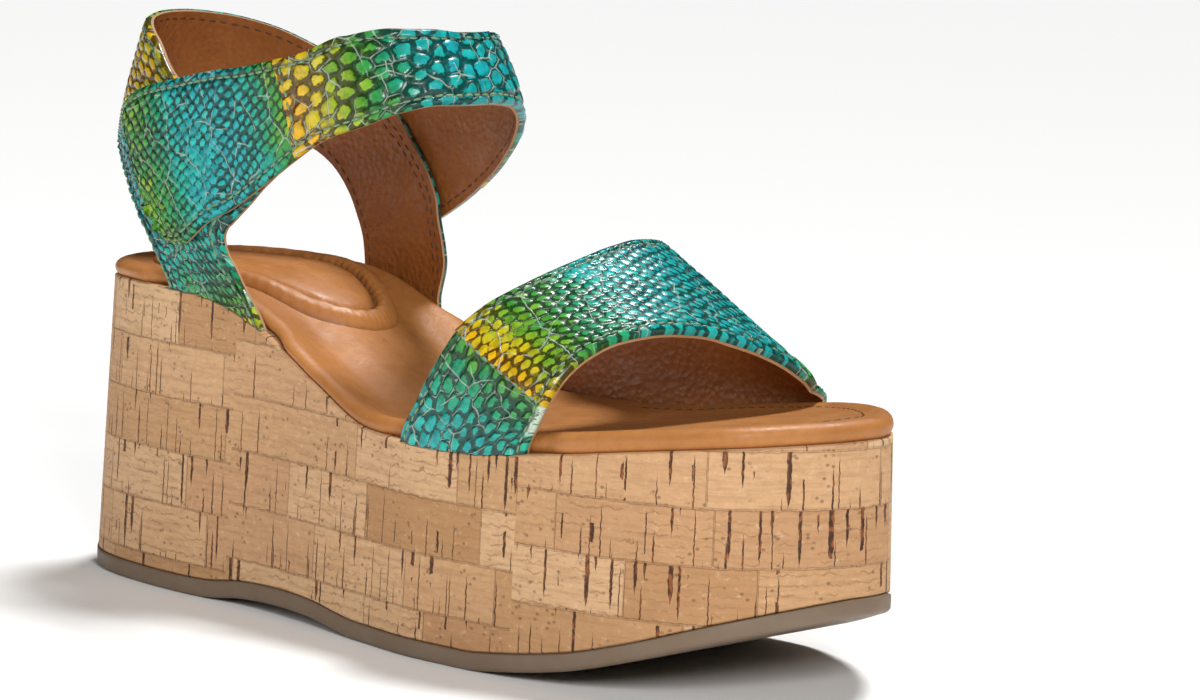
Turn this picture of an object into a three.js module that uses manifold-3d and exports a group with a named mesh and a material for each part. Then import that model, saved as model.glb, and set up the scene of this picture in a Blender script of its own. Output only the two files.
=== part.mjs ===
// Platform sandal for the right foot, standing empty on its sole: a rubber outsole, a cork wedge,
// a leather footbed with a padded heel, a vamp strap over the toes, and an ankle upper whose
// quarters, heel band and hook-and-loop ankle strap are one wall.
// Millimetres. +X points to the toe, +Y to the inner side of the foot, +Z up.
import * as THREE from "three";
import Module from "manifold-3d";
import { mergeVertices } from "three/addons/utils/BufferGeometryUtils.js";

const wasm = await Module();
wasm.setup();
const { clamp, degToRad, lerp, smoothstep } = THREE.MathUtils;

// Sole
const LENGTH = 242;
const BALL_WIDTH = 88;
const HEEL_HEIGHT = 75.2;
const PLATFORM_HEIGHT = 50.4;
const TOE_RISE = 10.5;
const TOE_SPRING = 20;
const ARCH_LIFT = 2.4;
const OUTSOLE_THICKNESS = 4.4;
const WEDGE_FLARE = 2.4;
const WEDGE_EDGE = 0.7;

// Footbed and heel pad
const RIM_HEIGHT = 5;
const RIM_ROUND = 2.2;
const FOOTBED_DISH = 1.6;
const PAD_LENGTH = 76;
const PAD_WIDTH = 46;
const PAD_HEEL_MARGIN = 8;
const PAD_CROWN = 2.6;
const PAD_RIDGE = 7.5;

// Upper
const STRAP_WALL = 2;
const OVERLAY_STEP = 0.8;
const COLLAR_HEIGHT = 65.3;
const COLLAR_LENGTH = 118;
const ANKLE_WIDTH = 61;
const ANKLE_SQUARENESS = 2.4;
const INSTEP_HEIGHT = 46;

// Fits
const GAP = 0.3;
const FOOT_GAP = 0.6;
const FOOT_MARGIN = 1;
const FOOT_RAMP = 4;
const WELD = 0.5;
const TUCK = 5;
const BLEND_HEIGHT = 32;

// Sole outline: half widths in shares of the ball width, flare of the cork wall at its foot
const OUTLINE = [
  { at: 0, lateral: 0, medial: 0, flare: 1 },
  { at: 0.02, lateral: 0.175, medial: 0.182, flare: 1 },
  { at: 0.06, lateral: 0.27, medial: 0.276, flare: 0.95 },
  { at: 0.12, lateral: 0.327, medial: 0.339, flare: 0.85 },
  { at: 0.2, lateral: 0.3625, medial: 0.366, flare: 0.75 },
  { at: 0.3, lateral: 0.38, medial: 0.355, flare: 0.65 },
  { at: 0.4, lateral: 0.425, medial: 0.339, flare: 0.6 },
  { at: 0.5, lateral: 0.4875, medial: 0.35, flare: 0.55 },
  { at: 0.6, lateral: 0.541, medial: 0.394, flare: 0.5 },
  { at: 0.7, lateral: 0.548, medial: 0.449, flare: 0.45 },
  { at: 0.78, lateral: 0.534, medial: 0.458, flare: 0.4 },
  { at: 0.86, lateral: 0.489, medial: 0.395, flare: 0.4 },
  { at: 0.93, lateral: 0.392, medial: 0.276, flare: 0.4 },
  { at: 0.975, lateral: 0.227, medial: 0.145, flare: 0.4 },
  { at: 1, lateral: 0, medial: 0, flare: 0.4 },
];

// Side view of the sole: shares of the heel's rise over the platform, of the toe's rise, of the
// arch's lift, of the toe spring and of the footbed rim's height
const PROFILE = [
  { at: 0, heel: 0.97, toe: 0, arch: 0.6, spring: 0, rim: 0.85 },
  { at: 0.05, heel: 0.985, toe: 0, arch: 0, spring: 0, rim: 0.85 },
  { at: 0.1, heel: 1, toe: 0, arch: 0, spring: 0, rim: 0.85 },
  { at: 0.2, heel: 0.995, toe: 0, arch: 0, spring: 0, rim: 0.82 },
  { at: 0.24, heel: 0.95, toe: 0, arch: 0.1, spring: 0, rim: 0.8 },
  { at: 0.3, heel: 0.77, toe: 0, arch: 0.8, spring: 0, rim: 0.75 },
  { at: 0.36, heel: 0.53, toe: 0, arch: 1, spring: 0, rim: 0.7 },
  { at: 0.4, heel: 0.353, toe: 0, arch: 0.9, spring: 0, rim: 0.7 },
  { at: 0.5, heel: 0.034, toe: 0, arch: 0, spring: 0, rim: 0.8 },
  { at: 0.6, heel: 0, toe: 0, arch: 0, spring: 0, rim: 0.9 },
  { at: 0.66, heel: 0, toe: 0.057, arch: 0, spring: 0, rim: 0.95 },
  { at: 0.7, heel: 0, toe: 0.17, arch: 0, spring: 0.045, rim: 1 },
  { at: 0.78, heel: 0, toe: 0.41, arch: 0, spring: 0.19, rim: 1.05 },
  { at: 0.85, heel: 0, toe: 0.64, arch: 0, spring: 0.41, rim: 1.05 },
  { at: 0.93, heel: 0, toe: 0.86, arch: 0, spring: 0.73, rim: 1.05 },
  { at: 1, heel: 0, toe: 1, arch: 0, spring: 1, rim: 1.05 },
];

// The ankle's shape: rise in shares of the collar's height over the heel seat, the heel curve and
// the instep in shares of the collar's length, the half width in shares of the ankle's half width
const ANKLE = [
  { rise: -0.16, back: 0.051, front: 1.05, half: 1.016 },
  { rise: 0.15, back: 0.019, front: 1.022, half: 1 },
  { rise: 0.3, back: 0.005, front: 1.002, half: 0.984 },
  { rise: 0.456, back: 0, front: 1, half: 0.97 },
  { rise: 0.563, back: 0.003, front: 0.99, half: 0.96 },
  { rise: 0.686, back: 0.017, front: 0.983, half: 0.944 },
  { rise: 0.839, back: 0.044, front: 0.953, half: 0.92 },
  { rise: 1.02, back: 0.081, front: 0.889, half: 0.885 },
];

// Quarters and heel band, from the outer foot round the heel to the inner foot. The angle runs
// round the ankle from the heel's back, to the outer side first; the rise is as in ANKLE
const QUARTERS = [
  { rearAngle: 72, rear: -0.09, frontAngle: 99.5, front: -0.2 },
  { rearAngle: 70, rear: 0.015, frontAngle: 97, front: -0.08 },
  { rearAngle: 64, rear: 0.135, frontAngle: 91.5, front: 0.08 },
  { rearAngle: 54, rear: 0.29, frontAngle: 89, front: 0.22 },
  { rearAngle: 44, rear: 0.41, frontAngle: 96, front: 0.4 },
  { rearAngle: 35, rear: 0.48, frontAngle: 104.5, front: 0.56 },
  { rearAngle: 26, rear: 0.52, frontAngle: 104, front: 0.68 },
  { rearAngle: 16, rear: 0.54, frontAngle: 90, front: 0.745 },
  { rearAngle: 5, rear: 0.55, frontAngle: 71, front: 0.79 },
  { rearAngle: -6, rear: 0.55, frontAngle: 52, front: 0.93 },
  { rearAngle: -18, rear: 0.545, frontAngle: 26, front: 0.995 },
  { rearAngle: -30, rear: 0.54, frontAngle: 2, front: 1.01 },
  { rearAngle: -42, rear: 0.53, frontAngle: -22, front: 0.995 },
  { rearAngle: -54, rear: 0.52, frontAngle: -46, front: 0.955 },
  { rearAngle: -65, rear: 0.49, frontAngle: -68, front: 0.87 },
  { rearAngle: -74, rear: 0.41, frontAngle: -84, front: 0.76 },
  { rearAngle: -79, rear: 0.27, frontAngle: -94, front: 0.55 },
  { rearAngle: -80, rear: 0.14, frontAngle: -101, front: 0.31 },
  { rearAngle: -79.5, rear: 0.02, frontAngle: -101, front: 0.12 },
  { rearAngle: -79, rear: -0.06, frontAngle: -98, front: -0.05 },
  { rearAngle: -79, rear: -0.14, frontAngle: -97.5, front: -0.16 },
];

// Ankle strap from its tab on the outer side, over the instep, to its seam on the inner side
const ANKLE_STRAP = [
  { lowAngle: 68, low: 0.29, highAngle: 50.5, high: 0.6 },
  { lowAngle: 74.5, low: 0.185, highAngle: 49.5, high: 0.68 },
  { lowAngle: 79, low: 0.18, highAngle: 58, high: 0.74 },
  { lowAngle: 88, low: 0.29, highAngle: 74, high: 0.8 },
  { lowAngle: 98, low: 0.43, highAngle: 89, high: 0.86 },
  { lowAngle: 108, low: 0.55, highAngle: 101, high: 0.91 },
  { lowAngle: 117, low: 0.64, highAngle: 112, high: 0.95 },
  { lowAngle: 129, low: 0.7, highAngle: 127, high: 1.02 },
  { lowAngle: 143, low: 0.76, highAngle: 147, high: 1.06 },
  { lowAngle: 160, low: 0.79, highAngle: 165, high: 1.06 },
  { lowAngle: 178, low: 0.79, highAngle: 180, high: 1.045 },
  { lowAngle: 194, low: 0.775, highAngle: 193, high: 1.04 },
  { lowAngle: 209, low: 0.72, highAngle: 208, high: 1.03 },
  { lowAngle: 226, low: 0.59, highAngle: 224, high: 0.99 },
  { lowAngle: 241, low: 0.46, highAngle: 243, high: 0.91 },
  { lowAngle: 253, low: 0.34, highAngle: 262, high: 0.86 },
  { lowAngle: 262, low: 0.255, highAngle: 283, high: 0.85 },
];

// Vamp strap from its outer foot over the toes to its inner foot. Each row joins a point of the
// back edge to one of the front edge: its share of the sole's length, of the half width there and
// of the instep's height over the cork, and then how many overlays lie on the strap
const VAMP = [
  { back: 0.548, backAcross: -1, backUp: -0.12, front: 0.722, frontAcross: -1, frontUp: -0.12, overlays: 0 },
  { back: 0.556, backAcross: -1, backUp: 0.05, front: 0.727, frontAcross: -1, frontUp: 0.04, overlays: 0 },
  { back: 0.576, backAcross: -1, backUp: 0.22, front: 0.733, frontAcross: -1, frontUp: 0.1, overlays: 0 },
  { back: 0.596, backAcross: -0.99, backUp: 0.4, front: 0.738, frontAcross: -0.99, frontUp: 0.16, overlays: 0 },
  { back: 0.617, backAcross: -0.95, backUp: 0.59, front: 0.743, frontAcross: -0.98, frontUp: 0.225, overlays: 0 },
  { back: 0.62, backAcross: -0.935, backUp: 0.615, front: 0.7445, frontAcross: -0.975, frontUp: 0.245, overlays: 1 },
  { back: 0.632, backAcross: -0.8, backUp: 0.725, front: 0.752, frontAcross: -0.9, frontUp: 0.375, overlays: 1 },
  { back: 0.646, backAcross: -0.62, backUp: 0.815, front: 0.7605, frontAcross: -0.75, frontUp: 0.485, overlays: 1 },
  { back: 0.652, backAcross: -0.42, backUp: 0.88, front: 0.769, frontAcross: -0.58, frontUp: 0.54, overlays: 1 },
  { back: 0.6575, backAcross: -0.23, backUp: 0.935, front: 0.778, frontAcross: -0.36, frontUp: 0.556, overlays: 1 },
  { back: 0.66, backAcross: -0.04, backUp: 0.98, front: 0.787, frontAcross: -0.1, frontUp: 0.53, overlays: 1 },
  { back: 0.659, backAcross: 0.16, backUp: 1, front: 0.797, frontAcross: 0.14, frontUp: 0.465, overlays: 1 },
  { back: 0.652, backAcross: 0.38, backUp: 0.99, front: 0.806, frontAcross: 0.36, frontUp: 0.395, overlays: 1 },
  { back: 0.638, backAcross: 0.62, backUp: 0.945, front: 0.813, frontAcross: 0.58, frontUp: 0.305, overlays: 1 },
  { back: 0.612, backAcross: 0.83, backUp: 0.87, front: 0.8135, frontAcross: 0.75, frontUp: 0.225, overlays: 1 },
  { back: 0.585, backAcross: 0.96, backUp: 0.79, front: 0.812, frontAcross: 0.82, frontUp: 0.18, overlays: 1 },
  { back: 0.579, backAcross: 0.975, backUp: 0.77, front: 0.8115, frontAcross: 0.845, frontUp: 0.175, overlays: 0 },
  { back: 0.54, backAcross: 1.03, backUp: 0.62, front: 0.809, frontAcross: 0.93, frontUp: 0.15, overlays: 0 },
  { back: 0.507, backAcross: 1.04, backUp: 0.4, front: 0.806, frontAcross: 0.985, frontUp: 0.125, overlays: 0 },
  { back: 0.487, backAcross: 1.01, backUp: 0.18, front: 0.803, frontAcross: 1, frontUp: 0.09, overlays: 0 },
  { back: 0.478, backAcross: 1, backUp: 0.05, front: 0.8, frontAcross: 1, frontUp: 0.04, overlays: 0 },
  { back: 0.47, backAcross: 1, backUp: -0.12, front: 0.797, frontAcross: 1, frontUp: -0.12, overlays: 0 },
];

// How finely the curved faces are divided
const OUTLINE_STEPS = 36;
const WALL_STEPS = 4;
const STRAP_STEPS = 8;
const PAD_STEPS = 28;

// A smooth curve through one column of a table, which never swings past its rows
function curveThrough(rows, column, place = (row) => row.at) {
  const places = rows.map(place);
  const values = rows.map((row) => row[column]);
  const slopes = [];
  for (let i = 0; i < rows.length - 1; i += 1) {
    slopes.push((values[i + 1] - values[i]) / (places[i + 1] - places[i]));
  }
  const tangents = values.map((_, i) => {
    const before = slopes[Math.max(i - 1, 0)];
    const after = slopes[Math.min(i, slopes.length - 1)];
    return before * after <= 0 ? 0 : (2 * before * after) / (before + after);
  });
  return (at) => {
    const within = clamp(at, places[0], places[places.length - 1]);
    let i = 0;
    while (i < slopes.length - 1 && within > places[i + 1]) {
      i += 1;
    }
    const span = places[i + 1] - places[i];
    const t = (within - places[i]) / span;
    const bend = t * (1 - t) * span;
    const straight = lerp(values[i], values[i + 1], t * t * (3 - 2 * t));
    return straight + bend * ((1 - t) * tangents[i] - t * tangents[i + 1]);
  };
}

// One smooth curve for each named column of a table
function curvesOf(rows, place) {
  const curves = {};
  for (const column of Object.keys(rows[0])) {
    curves[column] = curveThrough(rows, column, place);
  }
  return curves;
}

// A table whose rows are spaced evenly from 0 to 1
function evenCurves(rows) {
  return curvesOf(rows, (row) => rows.indexOf(row) / (rows.length - 1));
}

// Turning about the sole's middle instead of running along it keeps heel and toe round
function turnAt(share) {
  return Math.acos(1 - 2 * clamp(share, 0, 1));
}

const outline = curvesOf(OUTLINE, (row) => turnAt(row.at));
const profile = curvesOf(PROFILE);
const ankleShape = curvesOf(ANKLE, (row) => row.rise);

function halfWidth(x, side) {
  return BALL_WIDTH * outline[side](turnAt(x / LENGTH));
}

function middleY(x) {
  return (halfWidth(x, "medial") - halfWidth(x, "lateral")) / 2;
}

function corkTop(x) {
  const at = x / LENGTH;
  const heelRise = (HEEL_HEIGHT - PLATFORM_HEIGHT) * profile.heel(at);
  return PLATFORM_HEIGHT + heelRise + TOE_RISE * profile.toe(at);
}

function soleBottom(x) {
  const at = x / LENGTH;
  return ARCH_LIFT * profile.arch(at) + TOE_SPRING * profile.spring(at);
}

// A point on the ankle's surface, moved out from it: an oval at each height, which runs into the
// sole's edge below
function anklePoint(angle, rise, out) {
  const shape = (column) => ankleShape[column](rise);
  const back = COLLAR_LENGTH * shape("back") - out;
  const front = COLLAR_LENGTH * shape("front") + out;
  const half = (ANKLE_WIDTH / 2) * shape("half") + out;
  const cos = Math.cos(degToRad(angle));
  const sin = Math.sin(degToRad(angle));
  const rounded = (value) => Math.sign(value) * Math.abs(value) ** (2 / ANKLE_SQUARENESS);
  const x = (back + front) / 2 - ((front - back) / 2) * rounded(cos);
  const z = HEEL_HEIGHT + COLLAR_HEIGHT * rise;
  const side = sin > 0 ? "lateral" : "medial";
  const outward = side === "lateral" ? -1 : 1;
  const edge = outward * (halfWidth(x, side) - STRAP_WALL / 2 + out);
  const freed = smoothstep(z, corkTop(x), corkTop(x) + BLEND_HEIGHT);
  return new THREE.Vector3(x, lerp(edge, -half * rounded(sin), freed), z);
}

// Where the straps come down outside the footbed's rim: from and to along the sole. A foot runs
// over the first or the last rows of its table, the ones below the top of the footbed's rim
function quarterFoot(rows) {
  const starts = rows.map((row) => anklePoint(row.rearAngle, row.rear, 0).x);
  const ends = rows.map((row) => anklePoint(row.frontAngle, row.front, 0).x);
  return { from: Math.min(...starts) - FOOT_MARGIN, to: Math.max(...ends) + FOOT_MARGIN };
}

function vampFoot(rows) {
  const starts = rows.map((row) => row.back * LENGTH);
  const ends = rows.map((row) => row.front * LENGTH);
  return { from: Math.min(...starts) - FOOT_MARGIN, to: Math.max(...ends) + FOOT_MARGIN };
}

const STRAP_FEET = {
  lateral: [quarterFoot(QUARTERS.slice(0, 2)), vampFoot(VAMP.slice(0, 3))],
  medial: [quarterFoot(QUARTERS.slice(-2)), vampFoot(VAMP.slice(-4))],
};

// How far a strap's foot presses the footbed's rim in, from 0 to 1
function pressedIn(x, side) {
  let pressed = 0;
  for (const foot of STRAP_FEET[side]) {
    const rising = smoothstep(x, foot.from - FOOT_RAMP, foot.from);
    const falling = 1 - smoothstep(x, foot.to, foot.to + FOOT_RAMP);
    pressed = Math.max(pressed, rising * falling);
  }
  return pressed;
}

// Places along the sole where its sections stand: even turns, and the edges of the strap feet
function soleStations() {
  const shares = [];
  for (let i = 0; i <= OUTLINE_STEPS; i += 1) {
    shares.push((1 - Math.cos((Math.PI * i) / OUTLINE_STEPS)) / 2);
  }
  for (const foot of [...STRAP_FEET.lateral, ...STRAP_FEET.medial]) {
    const edges = [foot.from - FOOT_RAMP, foot.from, foot.to, foot.to + FOOT_RAMP];
    shares.push(...edges.map((x) => x / LENGTH));
  }
  shares.sort((a, b) => a - b);
  const closest = (0.4 * FOOT_RAMP) / LENGTH;
  return shares.filter((share, i) => i === 0 || share - shares[i - 1] > closest || share === 1);
}

// The sole's outline as a closed ring of plan points with their outward directions: along the
// outer side to the toe, and back along the inner side
function outlineRing() {
  const stations = soleStations();
  const points = [];
  for (const share of stations) {
    const x = share * LENGTH;
    points.push({ x, y: -halfWidth(x, "lateral"), side: "lateral" });
  }
  for (const share of stations.slice(1, -1).reverse()) {
    const x = share * LENGTH;
    points.push({ x, y: halfWidth(x, "medial"), side: "medial" });
  }
  const count = points.length;
  return points.map((point, i) => {
    const before = points[(i + count - 1) % count];
    const after = points[(i + 1) % count];
    const along = new THREE.Vector2(after.x - before.x, after.y - before.y).normalize();
    return { ...point, outX: along.y, outY: -along.x };
  });
}

const RING = outlineRing();

// A loop round the sole, moved out by offset(point) and at height(x, y)
function soleLoop(offset, height) {
  return RING.map((point) => {
    const out = offset(point);
    const x = point.x + point.outX * out;
    const y = point.y + point.outY * out;
    return new THREE.Vector3(x, y, height(x, y));
  });
}

// The loop's points drawn in towards the sole's middle line, all the way at a share of 1
function towardsMiddle(loop, share, height) {
  const ends = BALL_WIDTH / 3;
  return loop.map((point, i) => {
    const middleX = clamp(RING[i].x, ends, LENGTH - ends);
    const x = lerp(point.x, middleX, share);
    const y = lerp(point.y, middleY(middleX), share);
    return new THREE.Vector3(x, y, height(x, y));
  });
}

// Rings that close a loop's face over towards the middle line, so that it follows height(x, y)
function closedOver(loop, height, shares = [0.4, 1]) {
  return shares.map((share) => towardsMiddle(loop, share, height));
}

// A closed body through loops of equal count, the first and last of which are drawn shut
function loft(loops) {
  const corners = [];
  const addTriangle = (a, b, c) => {
    const tiny = 1e-5;
    if (a.distanceTo(b) > tiny && b.distanceTo(c) > tiny && c.distanceTo(a) > tiny) {
      corners.push(...a.toArray(), ...b.toArray(), ...c.toArray());
    }
  };
  for (let k = 0; k < loops.length - 1; k += 1) {
    const lower = loops[k];
    const upper = loops[k + 1];
    for (let i = 0; i < lower.length; i += 1) {
      const next = (i + 1) % lower.length;
      addTriangle(lower[i], lower[next], upper[next]);
      addTriangle(lower[i], upper[next], upper[i]);
    }
  }
  const geometry = new THREE.BufferGeometry();
  geometry.setAttribute("position", new THREE.Float32BufferAttribute(corners, 3));
  return mergeVertices(geometry, 1e-4);
}

function signedVolume(geometry) {
  const position = geometry.getAttribute("position");
  const index = geometry.getIndex();
  const [a, b, c] = [new THREE.Vector3(), new THREE.Vector3(), new THREE.Vector3()];
  let volume = 0;
  for (let i = 0; i < index.count; i += 3) {
    a.fromBufferAttribute(position, index.getX(i));
    b.fromBufferAttribute(position, index.getX(i + 1));
    c.fromBufferAttribute(position, index.getX(i + 2));
    volume += a.dot(b.cross(c)) / 6;
  }
  return volume;
}

// The same body with its faces turned outwards
function facingOut(geometry) {
  if (signedVolume(geometry) < 0) {
    const index = geometry.getIndex().array;
    for (let i = 0; i < index.length; i += 3) {
      [index[i], index[i + 1]] = [index[i + 1], index[i]];
    }
  }
  return geometry;
}

function toSolid(geometry) {
  const vertProperties = new Float32Array(geometry.getAttribute("position").array);
  const triVerts = new Uint32Array(geometry.getIndex().array);
  return new wasm.Manifold(new wasm.Mesh({ numProp: 3, vertProperties, triVerts }));
}

function fromSolid(solid) {
  const mesh = solid.getMesh();
  const geometry = new THREE.BufferGeometry();
  geometry.setAttribute("position", new THREE.BufferAttribute(mesh.vertProperties, 3));
  geometry.setIndex(new THREE.BufferAttribute(mesh.triVerts, 1));
  return geometry;
}

// Flare of the cork wall at a height share: widest at its foot, dying out at the top
function flare(point, share) {
  return WEDGE_FLARE * outline.flare(turnAt(point.x / LENGTH)) * (1 - share);
}

function outsoleGeometry() {
  const edgeRound = 1.4;
  const bottom = (x) => soleBottom(x);
  const raised = (lift) => (x) => soleBottom(x) + lift;
  const wide = (inset) => (point) => flare(point, 0) + GAP - inset;
  const sole = soleLoop(wide(2 * edgeRound), bottom);
  const top = soleLoop(wide(edgeRound), raised(OUTSOLE_THICKNESS));
  return loft([
    ...closedOver(sole, bottom).reverse(),
    sole,
    soleLoop(wide(0.3 * edgeRound), raised(0.5 * edgeRound)),
    soleLoop(wide(0), raised(edgeRound)),
    soleLoop(wide(0), raised(OUTSOLE_THICKNESS - 0.4 * edgeRound)),
    top,
    ...closedOver(top, raised(OUTSOLE_THICKNESS)),
  ]);
}

function wedgeGeometry() {
  const foot = (x) => soleBottom(x) + OUTSOLE_THICKNESS + GAP;
  const wallLoops = [];
  for (let i = 0; i <= WALL_STEPS; i += 1) {
    const share = i / WALL_STEPS;
    const height = (x) => lerp(foot(x), corkTop(x) - WEDGE_EDGE, share);
    wallLoops.push(soleLoop((point) => flare(point, share), height));
  }
  const top = soleLoop(() => -WEDGE_EDGE, corkTop);
  return loft([
    ...closedOver(wallLoops[0], foot).reverse(),
    ...wallLoops,
    top,
    ...closedOver(top, corkTop),
  ]);
}

function rimHeight(x) {
  return RIM_HEIGHT * profile.rim(x / LENGTH);
}

// The footbed's upper face: level with its rim, and dished inside it
function footbedTop(x, y) {
  const side = y < middleY(x) ? "lateral" : "medial";
  const reach = Math.max(Math.abs(y - middleY(x)) / (halfWidth(x, side) + Math.abs(middleY(x))), 0);
  const fromEnd = Math.min(x, LENGTH - x);
  const inside = smoothstep(fromEnd, 0, 4 * RIM_HEIGHT) * (1 - Math.min(reach, 1) ** 4);
  return corkTop(x) + GAP + rimHeight(x) - FOOTBED_DISH * profile.rim(x / LENGTH) * inside;
}

function footbedSolid() {
  const press = STRAP_WALL + FOOT_GAP;
  const inward = (inset) => (point) => -inset - press * pressedIn(point.x, point.side);
  const under = (x) => corkTop(x) + GAP;
  const rim = (share) => (x) => corkTop(x) + GAP + share * rimHeight(x);
  const base = soleLoop(inward(RIM_ROUND), under);
  const inner = soleLoop(inward(2.4 * RIM_ROUND), footbedTop);
  return toSolid(
    facingOut(
      loft([
        ...closedOver(base, under).reverse(),
        base,
        soleLoop(inward(0.3 * RIM_ROUND), rim(0.12)),
        soleLoop(inward(0), rim(0.4)),
        soleLoop(inward(0.15 * RIM_ROUND), rim(0.68)),
        soleLoop(inward(0.55 * RIM_ROUND), rim(0.9)),
        soleLoop(inward(1.2 * RIM_ROUND), rim(1)),
        inner,
        ...closedOver(inner, footbedTop, [0.1, 0.22, 0.38, 0.6, 1]),
      ]),
    ),
  );
}

// Padded oval of the footbed: a sewn ridge all round, a stitched groove and a crowned middle. It
// is cut by the footbed moved up by the gap, so that it lies evenly on it
function heelPadSolid(footbed) {
  const centre = PAD_HEEL_MARGIN + PAD_LENGTH / 2;
  const oval = (inset, lift) => {
    const loop = [];
    for (let i = 0; i < PAD_STEPS * 2; i += 1) {
      const turn = (Math.PI * i) / PAD_STEPS;
      const x = centre + (PAD_LENGTH / 2 - inset) * Math.cos(turn);
      const y = middleY(centre) + (PAD_WIDTH / 2 - inset) * Math.sin(turn);
      loop.push(new THREE.Vector3(x, y, footbedTop(x, y) + GAP + lift));
    }
    return loop;
  };
  const shut = (lift) => {
    const run = (PAD_LENGTH - PAD_WIDTH) / 2;
    return oval(0, 0).map((point) => {
      const x = clamp(point.x, centre - run, centre + run);
      const y = middleY(centre);
      return new THREE.Vector3(x, y, footbedTop(x, y) + GAP + lift);
    });
  };
  const sunk = -0.2 * RIM_HEIGHT;
  const crowned = loft([
    shut(sunk),
    oval(0, sunk),
    oval(0, 0.25 * PAD_CROWN),
    oval(0.2 * PAD_RIDGE, 0.75 * PAD_CROWN),
    oval(0.5 * PAD_RIDGE, PAD_CROWN),
    oval(0.85 * PAD_RIDGE, 0.7 * PAD_CROWN),
    oval(PAD_RIDGE, 0.35 * PAD_CROWN),
    oval(1.2 * PAD_RIDGE, 0.7 * PAD_CROWN),
    oval(1.8 * PAD_RIDGE, PAD_CROWN),
    shut(PAD_CROWN),
  ]);
  return toSolid(facingOut(crowned)).subtract(footbed.translate(0, 0, GAP));
}

// A wall on a surface. middle(along, across) is its middle face, with both from 0 to 1, and
// lift(along) is what its outer face stands proud there
function wallLoft(middle, columns, outwards, lift = () => 0) {
  const nudge = 1e-3;
  const walls = columns.map((along) => {
    const outer = [];
    const inner = [];
    for (let j = 0; j <= STRAP_STEPS; j += 1) {
      const across = j / STRAP_STEPS;
      const lengthways = middle(along + nudge, across).sub(middle(along - nudge, across));
      const sideways = middle(along, across + nudge).sub(middle(along, across - nudge));
      const normal = lengthways.cross(sideways).normalize().multiplyScalar(outwards);
      const point = middle(along, across);
      outer.push(point.clone().addScaledVector(normal, STRAP_WALL / 2 + lift(along)));
      inner.push(point.addScaledVector(normal, -STRAP_WALL / 2));
    }
    return { outer, inner };
  });
  const loopOf = ({ outer, inner }) => [...outer, ...inner.slice().reverse()];
  const shut = ({ outer, inner }) => {
    const middles = outer.map((point, j) => point.clone().lerp(inner[j], 0.5));
    return [...middles, ...middles.slice().reverse()];
  };
  return loft([shut(walls[0]), ...walls.map(loopOf), shut(walls[walls.length - 1])]);
}

function evenColumns(count) {
  return Array.from({ length: count + 1 }, (_, i) => i / count);
}

// Everything under the footbed, so that a strap that runs down into it ends on the cork
function soleSpace() {
  const outside = () => 4 * TUCK;
  const ceiling = (x) => corkTop(x) + GAP;
  const top = soleLoop(outside, ceiling);
  const bottom = soleLoop(outside, () => 0);
  return toSolid(
    facingOut(
      loft([
        ...closedOver(bottom, () => 0).reverse(),
        bottom,
        top,
        ...closedOver(top, ceiling),
      ]),
    ),
  );
}

function quartersSolid() {
  const edges = evenCurves(QUARTERS);
  const middle = (along, across) => {
    const angle = lerp(edges.rearAngle(along), edges.frontAngle(along), across);
    const rise = lerp(edges.rear(along), edges.front(along), across);
    return anklePoint(angle, rise, 0);
  };
  return toSolid(facingOut(wallLoft(middle, evenColumns(52), 1)));
}

function ankleStrapSolid() {
  const edges = evenCurves(ANKLE_STRAP);
  const middle = (along, across) => {
    const angle = lerp(edges.lowAngle(along), edges.highAngle(along), across);
    const rise = lerp(edges.low(along), edges.high(along), across);
    return anklePoint(angle, rise, STRAP_WALL - WELD);
  };
  return toSolid(facingOut(wallLoft(middle, evenColumns(50), -1)));
}

function ankleUpperGeometry() {
  return fromSolid(quartersSolid().subtract(soleSpace()).add(ankleStrapSolid()));
}

function vampPoint(x, across, up) {
  const side = across < 0 ? "lateral" : "medial";
  const half = halfWidth(x, side) - STRAP_WALL / 2;
  return new THREE.Vector3(x, across * half, corkTop(x) + up * INSTEP_HEIGHT);
}

function vampGeometry() {
  const edges = evenCurves(VAMP);
  const middle = (along, share) => {
    const x = LENGTH * lerp(edges.back(along), edges.front(along), share);
    const across = lerp(edges.backAcross(along), edges.frontAcross(along), share);
    return vampPoint(x, across, lerp(edges.backUp(along), edges.frontUp(along), share));
  };
  const lift = (along) => OVERLAY_STEP * edges.overlays(along);
  const columns = evenColumns(2 * (VAMP.length - 1));
  const wall = toSolid(facingOut(wallLoft(middle, columns, 1, lift)));
  return fromSolid(wall.subtract(soleSpace()));
}

const FINISHES = {
  outsole: { color: 0x84745f, roughness: 0.7 },
  cork_wedge: { color: 0xd2a878, roughness: 0.85 },
  footbed: { color: 0xa9682f, roughness: 0.5 },
  heel_pad: { color: 0xa9682f, roughness: 0.5 },
  vamp_strap: { color: 0x2f9c86, roughness: 0.3 },
  ankle_upper: { color: 0x2c8f8c, roughness: 0.3 },
};

const footbed = footbedSolid();
const SOLIDS = {
  outsole: outsoleGeometry(),
  cork_wedge: wedgeGeometry(),
  footbed: fromSolid(footbed),
  heel_pad: fromSolid(heelPadSolid(footbed)),
  vamp_strap: vampGeometry(),
  ankle_upper: ankleUpperGeometry(),
};

const sandal = new THREE.Group();
for (const [name, geometry] of Object.entries(SOLIDS)) {
  const material = new THREE.MeshStandardMaterial({ ...FINISHES[name], metalness: 0 });
  const mesh = new THREE.Mesh(facingOut(geometry), material);
  mesh.name = name;
  sandal.add(mesh);
}

// The origin is on the floor under the middle of the whole sandal
const box = new THREE.Box3().setFromObject(sandal);
const centre = box.getCenter(new THREE.Vector3());
sandal.position.set(-centre.x, -centre.y, -box.min.z);

export default sandal;
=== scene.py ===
"""Looks of a right-foot platform sandal: cork wedge, leather footbed and snake-embossed straps."""
import logging
import math
from collections.abc import Callable
from dataclasses import dataclass, field
from enum import Enum

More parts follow.
